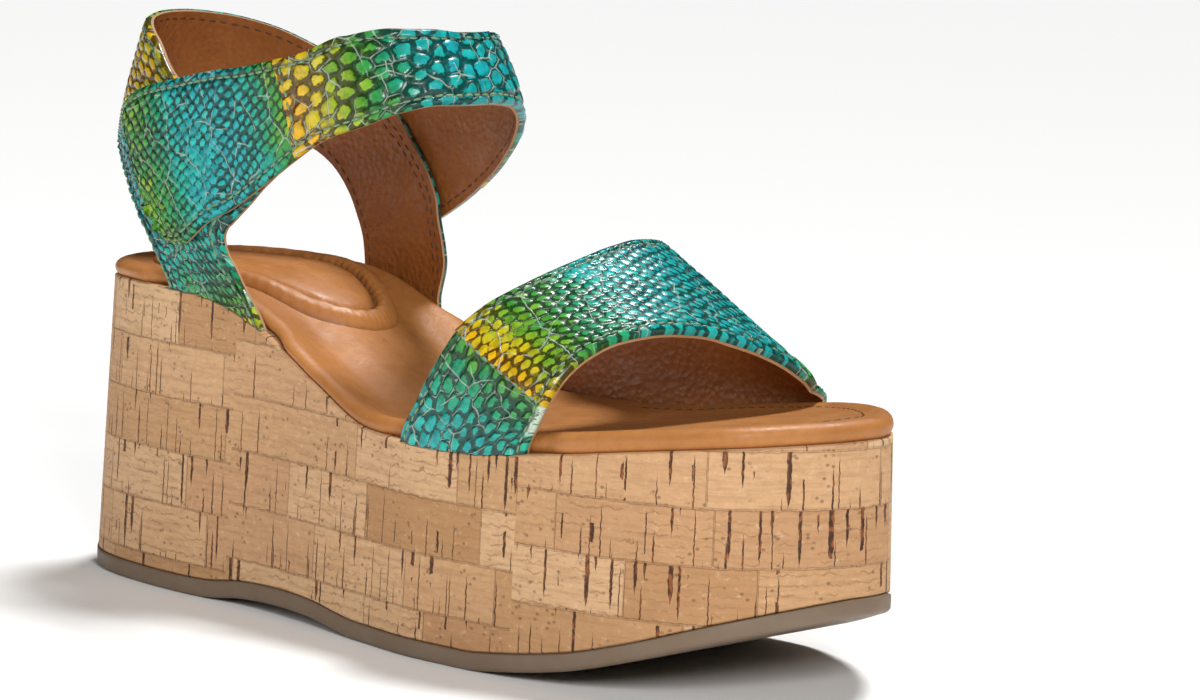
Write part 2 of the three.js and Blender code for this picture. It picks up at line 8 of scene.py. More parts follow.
import bpy
import numpy as np
from mathutils import Matrix, Vector


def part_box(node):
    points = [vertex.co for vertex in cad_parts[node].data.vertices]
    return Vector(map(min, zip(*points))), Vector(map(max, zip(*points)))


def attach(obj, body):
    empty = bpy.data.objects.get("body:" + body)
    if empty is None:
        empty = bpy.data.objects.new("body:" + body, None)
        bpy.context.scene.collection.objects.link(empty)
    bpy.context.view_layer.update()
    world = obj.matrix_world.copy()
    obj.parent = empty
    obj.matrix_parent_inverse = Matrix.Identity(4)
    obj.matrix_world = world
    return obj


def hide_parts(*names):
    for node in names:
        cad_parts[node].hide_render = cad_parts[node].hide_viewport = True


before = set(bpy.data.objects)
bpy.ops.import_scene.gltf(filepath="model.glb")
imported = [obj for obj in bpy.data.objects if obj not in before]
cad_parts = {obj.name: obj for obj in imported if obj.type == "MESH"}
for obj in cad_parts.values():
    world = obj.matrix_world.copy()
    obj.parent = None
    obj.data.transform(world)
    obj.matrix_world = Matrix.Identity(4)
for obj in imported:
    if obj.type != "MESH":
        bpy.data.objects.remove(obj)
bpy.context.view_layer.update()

log = logging.getLogger("sandal")
MM = 0.001
BODY = "root"
STRAP_CLEARANCE = 0.6 * MM
Array = np.ndarray
Height = Callable[[Array, Array], Array]

# Sole outline: half widths in shares of the ball width, flare of the cork wall at its foot
OUTLINE = {
    "at": (0, 0.02, 0.06, 0.12, 0.2, 0.3, 0.4, 0.5, 0.6, 0.7, 0.78, 0.86, 0.93, 0.975, 1),
    "lateral": (0, 0.175, 0.27, 0.327, 0.3625, 0.38, 0.425, 0.4875, 0.541, 0.548, 0.534, 0.489, 0.392,
                0.227, 0),
    "medial": (0, 0.182, 0.276, 0.339, 0.366, 0.355, 0.339, 0.35, 0.394, 0.449, 0.458, 0.395, 0.276, 0.145,
               0),
    "flare": (1, 1, 0.95, 0.85, 0.75, 0.65, 0.6, 0.55, 0.5, 0.45, 0.4, 0.4, 0.4, 0.4, 0.4),
}

# Side view of the sole: shares of the heel's and toe's rise, arch lift, toe spring and rim height
PROFILE = {
    "at": (0, 0.05, 0.1, 0.2, 0.24, 0.3, 0.36, 0.4, 0.5, 0.6, 0.66, 0.7, 0.78, 0.85, 0.93, 1),
    "heel": (0.97, 0.985, 1, 0.995, 0.95, 0.77, 0.53, 0.353, 0.034, 0, 0, 0, 0, 0, 0, 0),
    "toe": (0, 0, 0, 0, 0, 0, 0, 0, 0, 0, 0.057, 0.17, 0.41, 0.64, 0.86, 1),
    "arch": (0.6, 0, 0, 0, 0.1, 0.8, 1, 0.9, 0, 0, 0, 0, 0, 0, 0, 0),
    "spring": (0, 0, 0, 0, 0, 0, 0, 0, 0, 0, 0, 0.045, 0.19, 0.41, 0.73, 1),
    "rim": (0.85, 0.85, 0.85, 0.82, 0.8, 0.75, 0.7, 0.7, 0.8, 0.9, 0.95, 1, 1.05, 1.05, 1.05, 1.05),
}

# The ankle's shape at each rise over the heel seat, in shares of the collar's sizes
ANKLE = {
    "rise": (-0.16, 0.15, 0.3, 0.456, 0.563, 0.686, 0.839, 1.02),
    "back": (0.051, 0.019, 0.005, 0, 0.003, 0.017, 0.044, 0.081),
    "front": (1.05, 1.022, 1.002, 1, 0.99, 0.983, 0.953, 0.889),
    "half": (1.016, 1, 0.984, 0.97, 0.96, 0.944, 0.92, 0.885),
}

# Quarters and heel band, from the outer foot round the heel to the inner foot: angle and rise
QUARTERS = {
    "rear_angle": (72, 70, 64, 54, 44, 35, 26, 16, 5, -6, -18, -30, -42, -54, -65, -74, -79, -80, -79.5,
                   -79, -79),
    "rear": (-0.09, 0.015, 0.135, 0.29, 0.41, 0.48, 0.52, 0.54, 0.55, 0.55, 0.545, 0.54, 0.53, 0.52, 0.49,
             0.41, 0.27, 0.14, 0.02, -0.06, -0.14),
    "front_angle": (99.5, 97, 91.5, 89, 96, 104.5, 104, 90, 71, 52, 26, 2, -22, -46, -68, -84, -94, -101,
                    -101, -98, -97.5),
    "front": (-0.2, -0.08, 0.08, 0.22, 0.4, 0.56, 0.68, 0.745, 0.79, 0.93, 0.995, 1.01, 0.995, 0.955, 0.87,
              0.76, 0.55, 0.31, 0.12, -0.05, -0.16),
}

# Ankle strap from its tab on the outer side, over the instep, to its seam on the inner side
ANKLE_STRAP = {
    "low_angle": (68, 74.5, 79, 88, 98, 108, 117, 129, 143, 160, 178, 194, 209, 226, 241, 253, 262),
    "low": (0.29, 0.185, 0.18, 0.29, 0.43, 0.55, 0.64, 0.7, 0.76, 0.79, 0.79, 0.775, 0.72, 0.59, 0.46, 0.34,
            0.255),
    "high_angle": (50.5, 49.5, 58, 74, 89, 101, 112, 127, 147, 165, 180, 193, 208, 224, 243, 262, 283),
    "high": (0.6, 0.68, 0.74, 0.8, 0.86, 0.91, 0.95, 1.02, 1.06, 1.06, 1.045, 1.04, 1.03, 0.99, 0.91, 0.86,
             0.85),
}

# Vamp strap from its outer foot over the toes to its inner foot: shares of the sole's length, of the
# half width and of the instep's height, for the back edge and for the front edge
VAMP = {
    "back": (0.548, 0.556, 0.576, 0.596, 0.617, 0.62, 0.632, 0.646, 0.652, 0.6575, 0.66, 0.659, 0.652,
             0.638, 0.612, 0.585, 0.579, 0.54, 0.507, 0.487, 0.478, 0.47),
    "back_across": (-1, -1, -1, -0.99, -0.95, -0.935, -0.8, -0.62, -0.42, -0.23, -0.04, 0.16, 0.38, 0.62,
                    0.83, 0.96, 0.975, 1.03, 1.04, 1.01, 1, 1),
    "back_up": (-0.12, 0.05, 0.22, 0.4, 0.59, 0.615, 0.725, 0.815, 0.88, 0.935, 0.98, 1, 0.99, 0.945, 0.87,
                0.79, 0.77, 0.62, 0.4, 0.18, 0.05, -0.12),
    "front": (0.722, 0.727, 0.733, 0.738, 0.743, 0.7445, 0.752, 0.7605, 0.769, 0.778, 0.787, 0.797, 0.806,
              0.813, 0.8135, 0.812, 0.8115, 0.809, 0.806, 0.803, 0.8, 0.797),
    "front_across": (-1, -1, -1, -0.99, -0.98, -0.975, -0.9, -0.75, -0.58, -0.36, -0.1, 0.14, 0.36, 0.58,
                     0.75, 0.82, 0.845, 0.93, 0.985, 1, 1, 1),
    "front_up": (-0.12, 0.04, 0.1, 0.16, 0.225, 0.245, 0.375, 0.485, 0.54, 0.556, 0.53, 0.465, 0.395, 0.305,
                 0.225, 0.18, 0.175, 0.15, 0.125, 0.09, 0.04, -0.12),
}

# The heel pad's section: insets from its outline in millimetres, heights in shares of its crown
PAD_SECTION = {
    "inset": (0, 0.7, 2.2, 4.0, 5.6, 6.7, 7.6, 9, 12, 17, 23),
    "height": (-0.35, 0.25, 0.95, 1.15, 0.75, 0.02, 0.42, 0.8, 1.0, 1.12, 1.15),
}

# Where the straps' skins meet, in shares of the strap
VAMP_SEAM = 0.2142
VAMP_STRIP_START = 0.66
VAMP_STRIP_END = 0.738
TAB_END = 0.319
INNER_SEAM = 0.902


class Side(Enum):
    """The two sides of the foot, as the sign of Y."""

    LATERAL = -1
    MEDIAL = 1


class Slot(Enum):
    """The record's material slots."""

    RUBBER = "sole_rubber"
    CORK = "cork"
    TAN = "tan_leather"
    SNAKE = "snake_leather"
    TAPE = "loop_tape"
    THREAD = "thread"


def smoothstep(value: Array, low: float | Array, high: float | Array) -> Array:
    """Smooth rise from 0 at low to 1 at high."""
    t = np.clip((value - low) / (high - low), 0.0, 1.0)
    return t * t * (3 - 2 * t)


def mix(a: Array | float, b: Array | float, share: Array | float) -> Array:
    """Straight blend from a to b."""
    return a + (b - a) * share


def bell(value: Array, centre: float, width: float) -> Array:
    """A rounded rise to 1 at the centre, which fades over the width."""
    return np.exp(-(((value - centre) / width) ** 2))


@dataclass(frozen=True)
class Curve:
    """A smooth curve through one column of a table, which never swings past its rows."""

    places: Array
    values: Array

    def __call__(self, at: Array | float) -> Array:
        """Values of the curve.

        Args:
            at: Places along the table's first column.

        Returns:
            The values there, held at the table's ends.
        """
        slopes = np.diff(self.values) / np.diff(self.places)
        before = np.concatenate([slopes[:1], slopes])
        after = np.concatenate([slopes, slopes[-1:]])
        same = before * after > 0
        total = np.where(same, before + after, 1.0)
        tangents = np.where(same, 2 * before * after / total, 0.0)
        within = np.clip(at, self.places[0], self.places[-1])
        i = np.clip(np.searchsorted(self.places, within, side="right") - 1, 0, len(slopes) - 1)
        span = self.places[i + 1] - self.places[i]
        t = (within - self.places[i]) / span
        straight = mix(self.values[i], self.values[i + 1], t * t * (3 - 2 * t))
        return straight + t * (1 - t) * span * ((1 - t) * tangents[i] - t * tangents[i + 1])


def curves_of(table: dict[str, tuple[float, ...]], places: Array) -> dict[str, Curve]:
    """One smooth curve for each named column of a table, over the given places."""
    return {name: Curve(places, np.array(column, float)) for name, column in table.items()}


def even(table: dict[str, tuple[float, ...]]) -> dict[str, Curve]:
    """Curves of a table whose rows are spaced evenly from 0 to 1."""
    count = len(next(iter(table.values())))
    return curves_of(table, np.linspace(0.0, 1.0, count))


def turn_at(share: Array | float) -> Array:
    """Turning about the sole's middle instead of running along it keeps heel and toe round."""
    return np.arccos(1 - 2 * np.clip(share, 0.0, 1.0))


@dataclass(frozen=True)
class Last:
    """The sandal's driving sizes in metres, from the heel's back and the floor, and its curves."""

    length: float = 242 * MM
    ball_width: float = 88 * MM
    heel_height: float = 75.2 * MM
    platform_height: float = 50.4 * MM
    toe_rise: float = 10.5 * MM
    toe_spring: float = 20 * MM
    arch_lift: float = 2.4 * MM
    outsole_thickness: float = 4.4 * MM
    wedge_flare: float = 2.4 * MM
    rim_height: float = 5 * MM
    rim_round: float = 2.2 * MM
    dish: float = 1.6 * MM
    wall: float = 2 * MM
    collar_height: float = 65.3 * MM
    collar_length: float = 118 * MM
    ankle_width: float = 61 * MM
    squareness: float = 2.4
    instep_height: float = 46 * MM
    blend_height: float = 32 * MM
    outline: dict[str, Curve] = field(
        default_factory=lambda: curves_of(OUTLINE, turn_at(np.array(OUTLINE["at"]))))
    profile: dict[str, Curve] = field(
        default_factory=lambda: curves_of(PROFILE, np.array(PROFILE["at"], float)))
    ankle: dict[str, Curve] = field(default_factory=lambda: curves_of(ANKLE, np.array(ANKLE["rise"], float)))

    def half_width(self, x: Array, side: Array) -> Array:
        """Half width of the sole at x, on the side whose sign is given.

        Args:
            x: Places along the sole.
            side: The side's sign at each place.

        Returns:
            The half width at each place.
        """
        turn = turn_at(x / self.length)
        lateral, medial = self.outline["lateral"](turn), self.outline["medial"](turn)
        return self.ball_width * np.where(side < 0, lateral, medial)

    def middle_y(self, x: Array) -> Array:
        """The sole's middle line."""
        return (self.half_width(x, np.ones_like(x)) - self.half_width(x, -np.ones_like(x))) / 2

    def cork_top(self, x: Array) -> Array:
        """Height of the cork's upper face.

        Args:
            x: Places along the sole.

        Returns:
            The height at each place.
        """
        at = x / self.length
        heel = (self.heel_height - self.platform_height) * self.profile["heel"](at)
        return self.platform_height + heel + self.toe_rise * self.profile["toe"](at)

    def sole_bottom(self, x: Array) -> Array:
        """Height of the outsole's under face."""
        at = x / self.length
        return self.arch_lift * self.profile["arch"](at) + self.toe_spring * self.profile["spring"](at)

    def rim(self, x: Array) -> Array:
        """How far the footbed's rim stands over the cork."""
        return self.rim_height * self.profile["rim"](x / self.length)

    def footbed_top(self, x: Array, y: Array) -> Array:
        """The footbed's upper face: level with its rim, and dished inside it.

        Args:
            x: Places along the sole.
            y: Places across it.

        Returns:
            The height at each place.
        """
        middle = self.middle_y(x)
        half = self.half_width(x, np.where(y < middle, -1, 1))
        reach = np.clip(np.abs(y - middle) / np.maximum(half + np.abs(middle), MM), 0, 1)
        from_end = np.minimum(x, self.length - x)
        inside = smoothstep(from_end, 0, 4 * self.rim_height) * (1 - reach**4)
        return self.cork_top(x) + self.rim(x) - self.dish * self.profile["rim"](x / self.length) * inside

    def ankle_point(self, angle: Array, rise: Array, out: Array | float) -> Array:
        """A point on the ankle's surface.

        Args:
            angle: Degrees round from the heel's back, to the outer side first.
            rise: Height over the heel seat in shares of the collar's height.
            out: How far the point is moved out from the surface.

        Returns:
            Points, with their coordinates in the last place.
        """
        back = self.collar_length * self.ankle["back"](rise) - out
        front = self.collar_length * self.ankle["front"](rise) + out
        half = self.ankle_width / 2 * self.ankle["half"](rise) + out
        power = 2 / self.squareness
        cos, sin = np.cos(np.radians(angle)), np.sin(np.radians(angle))
        x = (back + front) / 2 - (front - back) / 2 * np.sign(cos) * np.abs(cos) ** power
        z = self.heel_height + self.collar_height * rise
        outward = np.where(sin > 0, -1, 1)
        edge = outward * (self.half_width(x, outward) - self.wall / 2 + out)
        top = self.cork_top(x)
        freed = smoothstep(z, top, top + self.blend_height)
        y = mix(edge, -half * np.sign(sin) * np.abs(sin) ** power, freed)
        return np.stack([x, y, z], -1)

    def vamp_point(self, x: Array, across: Array, up: Array) -> Array:
        """A point on the vamp, by its shares of the half width and of the instep's height."""
        half = self.half_width(x, across) - self.wall / 2
        return np.stack([x, across * half, self.cork_top(x) + up * self.instep_height], -1)


LAST = Last()


def frame_shift() -> Array:
    """Where the heel's back on the floor lies in the frame, from the footbed and the heel pad.

    Returns:
        The heel back's coordinates.
    """
    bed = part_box("footbed")[0]
    pad_low, pad_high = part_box("heel_pad")
    pad_middle = np.array([(pad_low.x + pad_high.x) / 2 - bed.x])
    return np.array([bed.x, (pad_low.y + pad_high.y) / 2 - LAST.middle_y(pad_middle)[0], 0.0])


SHIFT = frame_shift()


def over_bottom(lift: float) -> Height:
    """Heights over the outsole's under face."""
    return lambda x, y: LAST.sole_bottom(x) + lift


def over_cork(lift: float = 0.0, rim_share: float = 0.0) -> Height:
    """Heights over the cork's top, by a lift and a share of the footbed's rim."""
    return lambda x, y: LAST.cork_top(x) + lift + rim_share * LAST.rim(x)


def between(low: Height, high: Height, share: float) -> Height:
    """Heights at a share of the way from low to high."""
    return lambda x, y: mix(low(x, y), high(x, y), share)


def deselect_all() -> None:
    """Leave nothing selected, so that an operator touches its own piece only."""
    if bpy.context.mode != "OBJECT":
        bpy.ops.object.mode_set(mode="OBJECT")
    bpy.ops.object.select_all(action="DESELECT")


def choose(piece: bpy.types.Object) -> None:
    """Make one piece selected and active.

    Args:
        piece: The piece to work on.
    """
    deselect_all()
    piece.select_set(True)
    bpy.context.view_layer.objects.active = piece


def apply_modifier(piece: bpy.types.Object, kind: str, **settings: object) -> None:
    """Add a modifier with the given settings to a piece and apply it.

    Args:
        piece: The piece to change.
        kind: The modifier's type.
        **settings: The modifier's own values.
    """
    choose(piece)
    modifier = piece.modifiers.new(kind.title(), kind)
    for name, value in settings.items():
        setattr(modifier, name, value)
    bpy.ops.object.modifier_apply(modifier=modifier.name)


def thicken(piece: bpy.types.Object, thickness: float, offset: float = -1.0, **settings: object) -> None:
    """Give a sheet its thickness, to its inner side or to both."""
    apply_modifier(piece, "SOLIDIFY", thickness=thickness, offset=offset, use_even_offset=False, **settings)


def vertex_places(mesh: bpy.types.Mesh) -> Array:
    """The place of each of a mesh's vertices.

    Args:
        mesh: The mesh to read.

    Returns:
        The places, one row to a vertex.
    """
    flat = np.empty(len(mesh.vertices) * 3)
    mesh.vertices.foreach_get("co", flat)
    return flat.reshape(-1, 3)


def store(piece: bpy.types.Object, name: str, values: Array) -> None:
    """Keep a value on each vertex, for the materials to read."""
    layer = piece.data.attributes.new(name, "FLOAT", "POINT")
    layer.data.foreach_set("value", values.astype(np.float32))


def close_shell(piece: bpy.types.Object, reach: float = 0.002 * MM) -> None:
    """Merge a shell's doubles, drop what has no area and turn its faces outwards.

    Args:
        piece: The piece to clean.
        reach: Points nearer than this become one.
    """
    choose(piece)
    bpy.ops.object.mode_set(mode="EDIT")
    bpy.ops.mesh.select_all(action="SELECT")
    bpy.ops.mesh.remove_doubles(threshold=reach)
    bpy.ops.mesh.dissolve_degenerate(threshold=reach)
    bpy.ops.mesh.normals_make_consistent(inside=False)
    bpy.ops.object.mode_set(mode="OBJECT")


def smooth(piece: bpy.types.Object, degrees: float = 40) -> None:
    """Shade smooth, with edges sharper than the angle kept."""
    choose(piece)
    bpy.ops.object.shade_smooth_by_angle(angle=math.radians(degrees))


def sheet(name: str, points: Array, uv: Array) -> bpy.types.Object:
    """A grid primitive laid over an array of points.

    Args:
        name: The piece's name.
        points: Places in metres from the heel's back, as rows, columns and coordinates.
        uv: The surface's own coordinates at the same places.

    Returns:
        The piece, with its place in its mesh.
    """
    rows, columns = points.shape[:2]
    deselect_all()
    bpy.ops.mesh.primitive_grid_add(x_subdivisions=columns - 1, y_subdivisions=rows - 1, size=2)
    piece = bpy.context.object
    piece.name = name
    mesh = piece.data
    mesh.name = name
    start = vertex_places(mesh)
    column = np.rint((start[:, 0] + 1) / 2 * (columns - 1)).astype(int)
    row = np.rint((start[:, 1] + 1) / 2 * (rows - 1)).astype(int)
    mesh.vertices.foreach_set("co", (points[row, column] + SHIFT).ravel())
    corner = np.empty(len(mesh.loops), int)
    mesh.loops.foreach_get("vertex_index", corner)
    layer = mesh.uv_layers.active or mesh.uv_layers.new(name="UVMap")
    layer.uv.foreach_set("vector", uv[row, column][corner].ravel())
    piece["row"], piece["column"] = row.tolist(), column.tolist()
    mesh.update()
    return piece


def grid_places(piece: bpy.types.Object) -> tuple[Array, Array]:
    """The row and column of each vertex that the piece's grid began with.

    Args:
        piece: A piece made by sheet.

    Returns:
        Each vertex's row and its column.
    """
    row, column = np.array(piece["row"]), np.array(piece["column"])
    del piece["row"], piece["column"]
    return row, column


def normals_of(points: Array) -> Array:
    """Unit normals of a sheet of points, across its rows and columns.

    Args:
        points: A sheet of points, as rows and columns.

    Returns:
        The normals, in the same order.
    """
    along = np.gradient(points, axis=1)
    across = np.gradient(points, axis=0)
    normal = np.cross(across, along)
    return normal / np.maximum(np.linalg.norm(normal, axis=-1, keepdims=True), 1e-12)


def sample(points: Array, u: Array, v: Array) -> Array:
    """Values of a sheet between its points, for u along its columns and v along its rows.

    Args:
        points: Values on an even grid.
        u: Shares along its columns.
        v: Shares along its rows.

    Returns:
        The values between the grid's points.
    """
    rows, columns = points.shape[:2]
    fu, fv = np.clip(u, 0, 1) * (columns - 1), np.clip(v, 0, 1) * (rows - 1)
    i, j = np.minimum(fu.astype(int), columns - 2), np.minimum(fv.astype(int), rows - 2)
    a, b = (fu - i)[..., None], (fv - j)[..., None]
    low = points[j, i] * (1 - a) + points[j, i + 1] * a
    high = points[j + 1, i] * (1 - a) + points[j + 1, i + 1] * a
    return low * (1 - b) + high * b


class Shader:
    """A material's node tree, with short ways to add and join nodes."""

    def __init__(self, name: str) -> None:
        """Start an empty material with one surface shader.

        Args:
            name: The material's name.
        """
        self.material = bpy.data.materials.new(name)
        self.material.use_nodes = True
        self.tree = self.material.node_tree
        self.surface = self.tree.nodes["Principled BSDF"]

    def node(self, kind: str, inputs: dict[str | int, object] | None = None,
             **settings: object) -> bpy.types.Node:
        """Add a node, and set or link its inputs.

        Args:
            kind: The node's type, without its prefix.
            inputs: Values or sockets, by input name or number.
            **settings: The node's own options.

        Returns:
            The new node.
        """
        made = self.tree.nodes.new("ShaderNode" + kind)
        for name, value in settings.items():
            setattr(made, name, value)
        for key, value in (inputs or {}).items():
            self.feed(made.inputs[key], value)
        return made

    def feed(self, socket: bpy.types.NodeSocket, value: object) -> None:
        """Set a socket's value, or link it where the value is another socket.

        Args:
            socket: The input to set.
            value: A plain value or an output socket.
        """
        if isinstance(value, bpy.types.NodeSocket):
            self.tree.links.new(value, socket)
        else:
            socket.default_value = value

    def math(self, operation: str, *values: object, clamp: bool = False) -> bpy.types.NodeSocket:
        """The result of a maths node."""
        made = self.node("Math", dict(enumerate(values)), operation=operation, use_clamp=clamp)
        return made.outputs[0]

    def ramp(self, value: object, low: float, high: float, start: float = 0,
             end: float = 1) -> bpy.types.NodeSocket:
        """A value mapped smoothly from low..high to start..end.

        Args:
            value: What is mapped.
            low: The value that gives start.
            high: The value that gives end.
            start: The result up to low.
            end: The result from high on.

        Returns:
            The mapped value.
        """
        made = self.node("MapRange", {0: value, 1: low, 2: high, 3: start, 4: end},
                         interpolation_type="SMOOTHSTEP")
        return made.outputs[0]

    def colours(self, value: object,
                stops: tuple[tuple[float, tuple[float, float, float]], ...]) -> bpy.types.NodeSocket:
        """A colour ramp through the given stops.

        Args:
            value: A place from 0 to 1.
            stops: Places and their colours.

        Returns:
            The colour at the value.
        """
        made = self.node("ValToRGB", {0: value})
        ramp = made.color_ramp
        while len(ramp.elements) < len(stops):
            ramp.elements.new(0.5)
        for element, (place, colour) in zip(ramp.elements, stops):
            element.position = place
            element.color = (*colour, 1)
        return made.outputs[0]

    def blend(self, share: object, a: object, b: object, kind: str = "MIX") -> bpy.types.NodeSocket:
        """Two colours mixed.

        Args:
            share: The share of b.
            a: The first colour.
            b: The second colour.
            kind: The node's way of mixing.

        Returns:
            The mixed colour.
        """
        made = self.node("Mix", data_type="RGBA", blend_type=kind)
        for socket, value in ((made.inputs[0], share), (made.inputs[6], a), (made.inputs[7], b)):
            self.feed(socket, (*value, 1) if isinstance(value, tuple) else value)
        return made.outputs[2]

    def noise(self, vector: object, scale: float, detail: float = 3,
              rough: float = 0.5) -> bpy.types.NodeSocket:
        """Smooth noise, at a scale of repeats in a metre."""
        made = self.node("TexNoise", {"Vector": vector, "Scale": scale, "Detail": detail, "Roughness": rough})
        return made.outputs[0]

    def voronoi(self, place: object, randomness: float = 1.0, feature: str = "F1",
                dimensions: str = "1D") -> bpy.types.Node:
        """Cells round scattered points, about one in each unit of the given place.

        Args:
            place: Coordinates, one unit to a cell.
            randomness: How far the cells are shifted.
            feature: What the node measures.
            dimensions: 1D for a single value, 2D for coordinates.

        Returns:
            The node.
        """
        key = "W" if dimensions == "1D" else "Vector"
        return self.node("TexVoronoi", {key: place, "Scale": 1.0, "Randomness": randomness},
                         feature=feature, voronoi_dimensions=dimensions)

    def stretched(self, vector: object, scale: tuple[float, float, float]) -> bpy.types.NodeSocket:
        """Coordinates scaled along each axis."""
        return self.node("Mapping", {"Vector": vector, "Scale": scale}).outputs[0]

    def place(self) -> bpy.types.NodeSocket:
        """Object coordinates."""
        return self.node("TexCoord").outputs["Object"]

    def uv(self) -> bpy.types.NodeSocket:
        """The piece's own UV map, in metres."""
        return self.node("TexCoord").outputs["UV"]

    def attribute(self, name: str) -> bpy.types.NodeSocket:
        """A value stored on the mesh."""
        return self.node("Attribute", attribute_name=name).outputs["Fac"]

    def bump(self, height: object, distance: float, strength: float = 1,
             under: object = None) -> bpy.types.NodeSocket:
        """A bump normal from a height of 0 to 1 over a distance in metres.

        Args:
            height: The relief from 0 to 1.
            distance: The relief's depth in metres.
            strength: How much of it shows.
            under: A bump that lies beneath it.

        Returns:
            The bent normal.
        """
        made = self.node("Bump", {"Height": height, "Distance": distance, "Strength": strength})
        if under is not None:
            self.feed(made.inputs["Normal"], under)
        return made.outputs[0]

    def finish(self, **inputs: object) -> bpy.types.Material:
        """Set the surface shader's sockets, with underscores for the spaces in their names.

        Args:
            **inputs: Values or sockets, by input name.

        Returns:
            The finished material.
        """
        for name, value in inputs.items():
            value = (*value, 1) if isinstance(value, tuple) else value
            self.feed(self.surface.inputs[name.replace("_", " ")], value)
        return self.material


@dataclass(frozen=True)
class SnakePrint:
    """Glossy embossed leather, printed with scales that shade from turquoise to yellow."""

    name: str = "snake_print"
    gap: float = 0.125
    net_size: float = 7.5 * MM

    def make(self) -> bpy.types.Material:
        """The material, which reads the scales' edge, tone and hue from the mesh.

        Returns:
            The material.
        """
        s = Shader(self.name)
        uv, edge = s.uv(), s.attribute("scale_edge")
        print_colour = self.printed(s, uv, edge)
        line = self.pale_lines(s, uv, edge)
        worn = s.blend(s.math("MULTIPLY", line, 0.6), print_colour, (0.50, 0.60, 0.50))
        torn = s.math("MULTIPLY", s.attribute("fray"), s.ramp(s.noise(uv, 900, 3, 0.6), 0.36, 0.52))
        # Painted shade: the print darkens almost to black along the stitched groove beside each long edge.
        sewn = s.blend(s.math("MULTIPLY", s.attribute("crease_shade"), 0.7), worn, (0.006, 0.02, 0.012))
        colour = s.blend(s.math("MULTIPLY", torn, 0.85), sewn, (0.62, 0.70, 0.58))
        fine = s.bump(s.noise(uv, 1800, 3), 0.05 * MM, 0.6)
        ridge = s.bump(line, 0.3 * MM, 0.8, fine)
        wrinkles = s.noise(s.stretched(uv, (330, 150, 1)), 1.0, 3, 0.6)
        dent = s.bump(wrinkles, 0.5 * MM, 0.55, ridge)
        rough = s.ramp(s.noise(uv, 300, 2), 0.3, 0.7, 0.22, 0.4)
        return s.finish(Base_Color=colour, Roughness=rough, Normal=dent, Specular_IOR_Level=0.3,
                        Coat_Weight=0.28, Coat_Roughness=0.08)

    def printed(self, s: Shader, uv: bpy.types.NodeSocket,
                edge: bpy.types.NodeSocket) -> bpy.types.NodeSocket:
        """Mottled scales over a dark ground, each with a tone and a hue of its own.

        Args:
            s: The shader to add to.
            uv: The strap's coordinates in metres.
            edge: Distance to the scale's edge.

        Returns:
            The print's colour.
        """
        tone, hue = s.attribute("scale_tone"), s.attribute("hue")
        ragged = s.math("MULTIPLY_ADD", s.noise(uv, 800, 3, 0.6), 0.36, -0.18)
        patchy = s.math("MULTIPLY_ADD", s.noise(uv, 50, 3), 0.44, -0.22)
        loose = s.math("MULTIPLY_ADD", tone, -0.07, patchy)
        reach = s.math("ADD", s.math("ADD", edge, ragged), loose)
        inside = s.ramp(reach, self.gap - 0.03, self.gap + 0.03)
        varied = s.math("ADD", hue, s.math("MULTIPLY_ADD", tone, 0.16, -0.08))
        patch = s.math("ADD", varied, s.math("MULTIPLY_ADD", s.noise(uv, 60, 2), 0.24, -0.12), clamp=True)
        scale = s.colours(patch, (
            (0.0, (0.010, 0.40, 0.44)), (0.22, (0.008, 0.44, 0.36)), (0.4, (0.012, 0.34, 0.14)),
            (0.58, (0.06, 0.34, 0.03)), (0.74, (0.28, 0.45, 0.02)), (0.9, (0.72, 0.50, 0.008)),
            (1.0, (0.80, 0.40, 0.004)),
        ))
        ground = s.colours(patch, (
            (0.0, (0.001, 0.060, 0.058)), (0.4, (0.002, 0.050, 0.026)), (0.65, (0.014, 0.048, 0.003)),
            (0.9, (0.085, 0.055, 0.001)), (1.0, (0.11, 0.045, 0.001)),
        ))
        mottle = s.ramp(s.noise(uv, 330, 4, 0.65), 0.36, 0.7, 0, 0.55)
        shade = s.blend(mottle, scale, ground)
        lit = s.blend(s.ramp(tone, 0.55, 1.0, 0, 0.35), shade, scale, "SCREEN")
        stain = s.blend(s.ramp(s.noise(uv, 420, 3, 0.6), 0.5, 0.75, 0, 0.35), ground, scale)
        return s.blend(inside, stain, lit)

    def pale_lines(self, s: Shader, uv: bpy.types.NodeSocket,
                   edge: bpy.types.NodeSocket) -> bpy.types.NodeSocket:
        """The worn net over the skin and the cracks between its scales.

        Args:
            s: The shader to add to.
            uv: The strap's coordinates in metres.
            edge: Distance to the scale's edge.

        Returns:
            1 on a line and 0 beside it.
        """
        drift = s.node("TexNoise", {"Vector": uv, "Scale": 130.0}).outputs["Color"]
        sway = s.stretched(drift, (0.003, 0.003, 0))
        wander = s.node("VectorMath", {0: uv, 1: sway}, operation="ADD")
        net_place = s.stretched(wander.outputs[0], (1 / self.net_size, 0.7 / self.net_size, 1))
        net = s.voronoi(net_place, 0.9, "DISTANCE_TO_EDGE", "2D").outputs["Distance"]
        shown = s.ramp(s.noise(uv, 150, 2), 0.44, 0.56)
        thin = s.math("MULTIPLY", s.ramp(net, 0.008, 0.032, 1, 0), shown)
        crack = s.math("MULTIPLY", s.ramp(edge, 0.015, 0.05, 1, 0), s.ramp(s.noise(uv, 95, 2), 0.52, 0.6))
        return s.math("MAXIMUM", thin, crack)


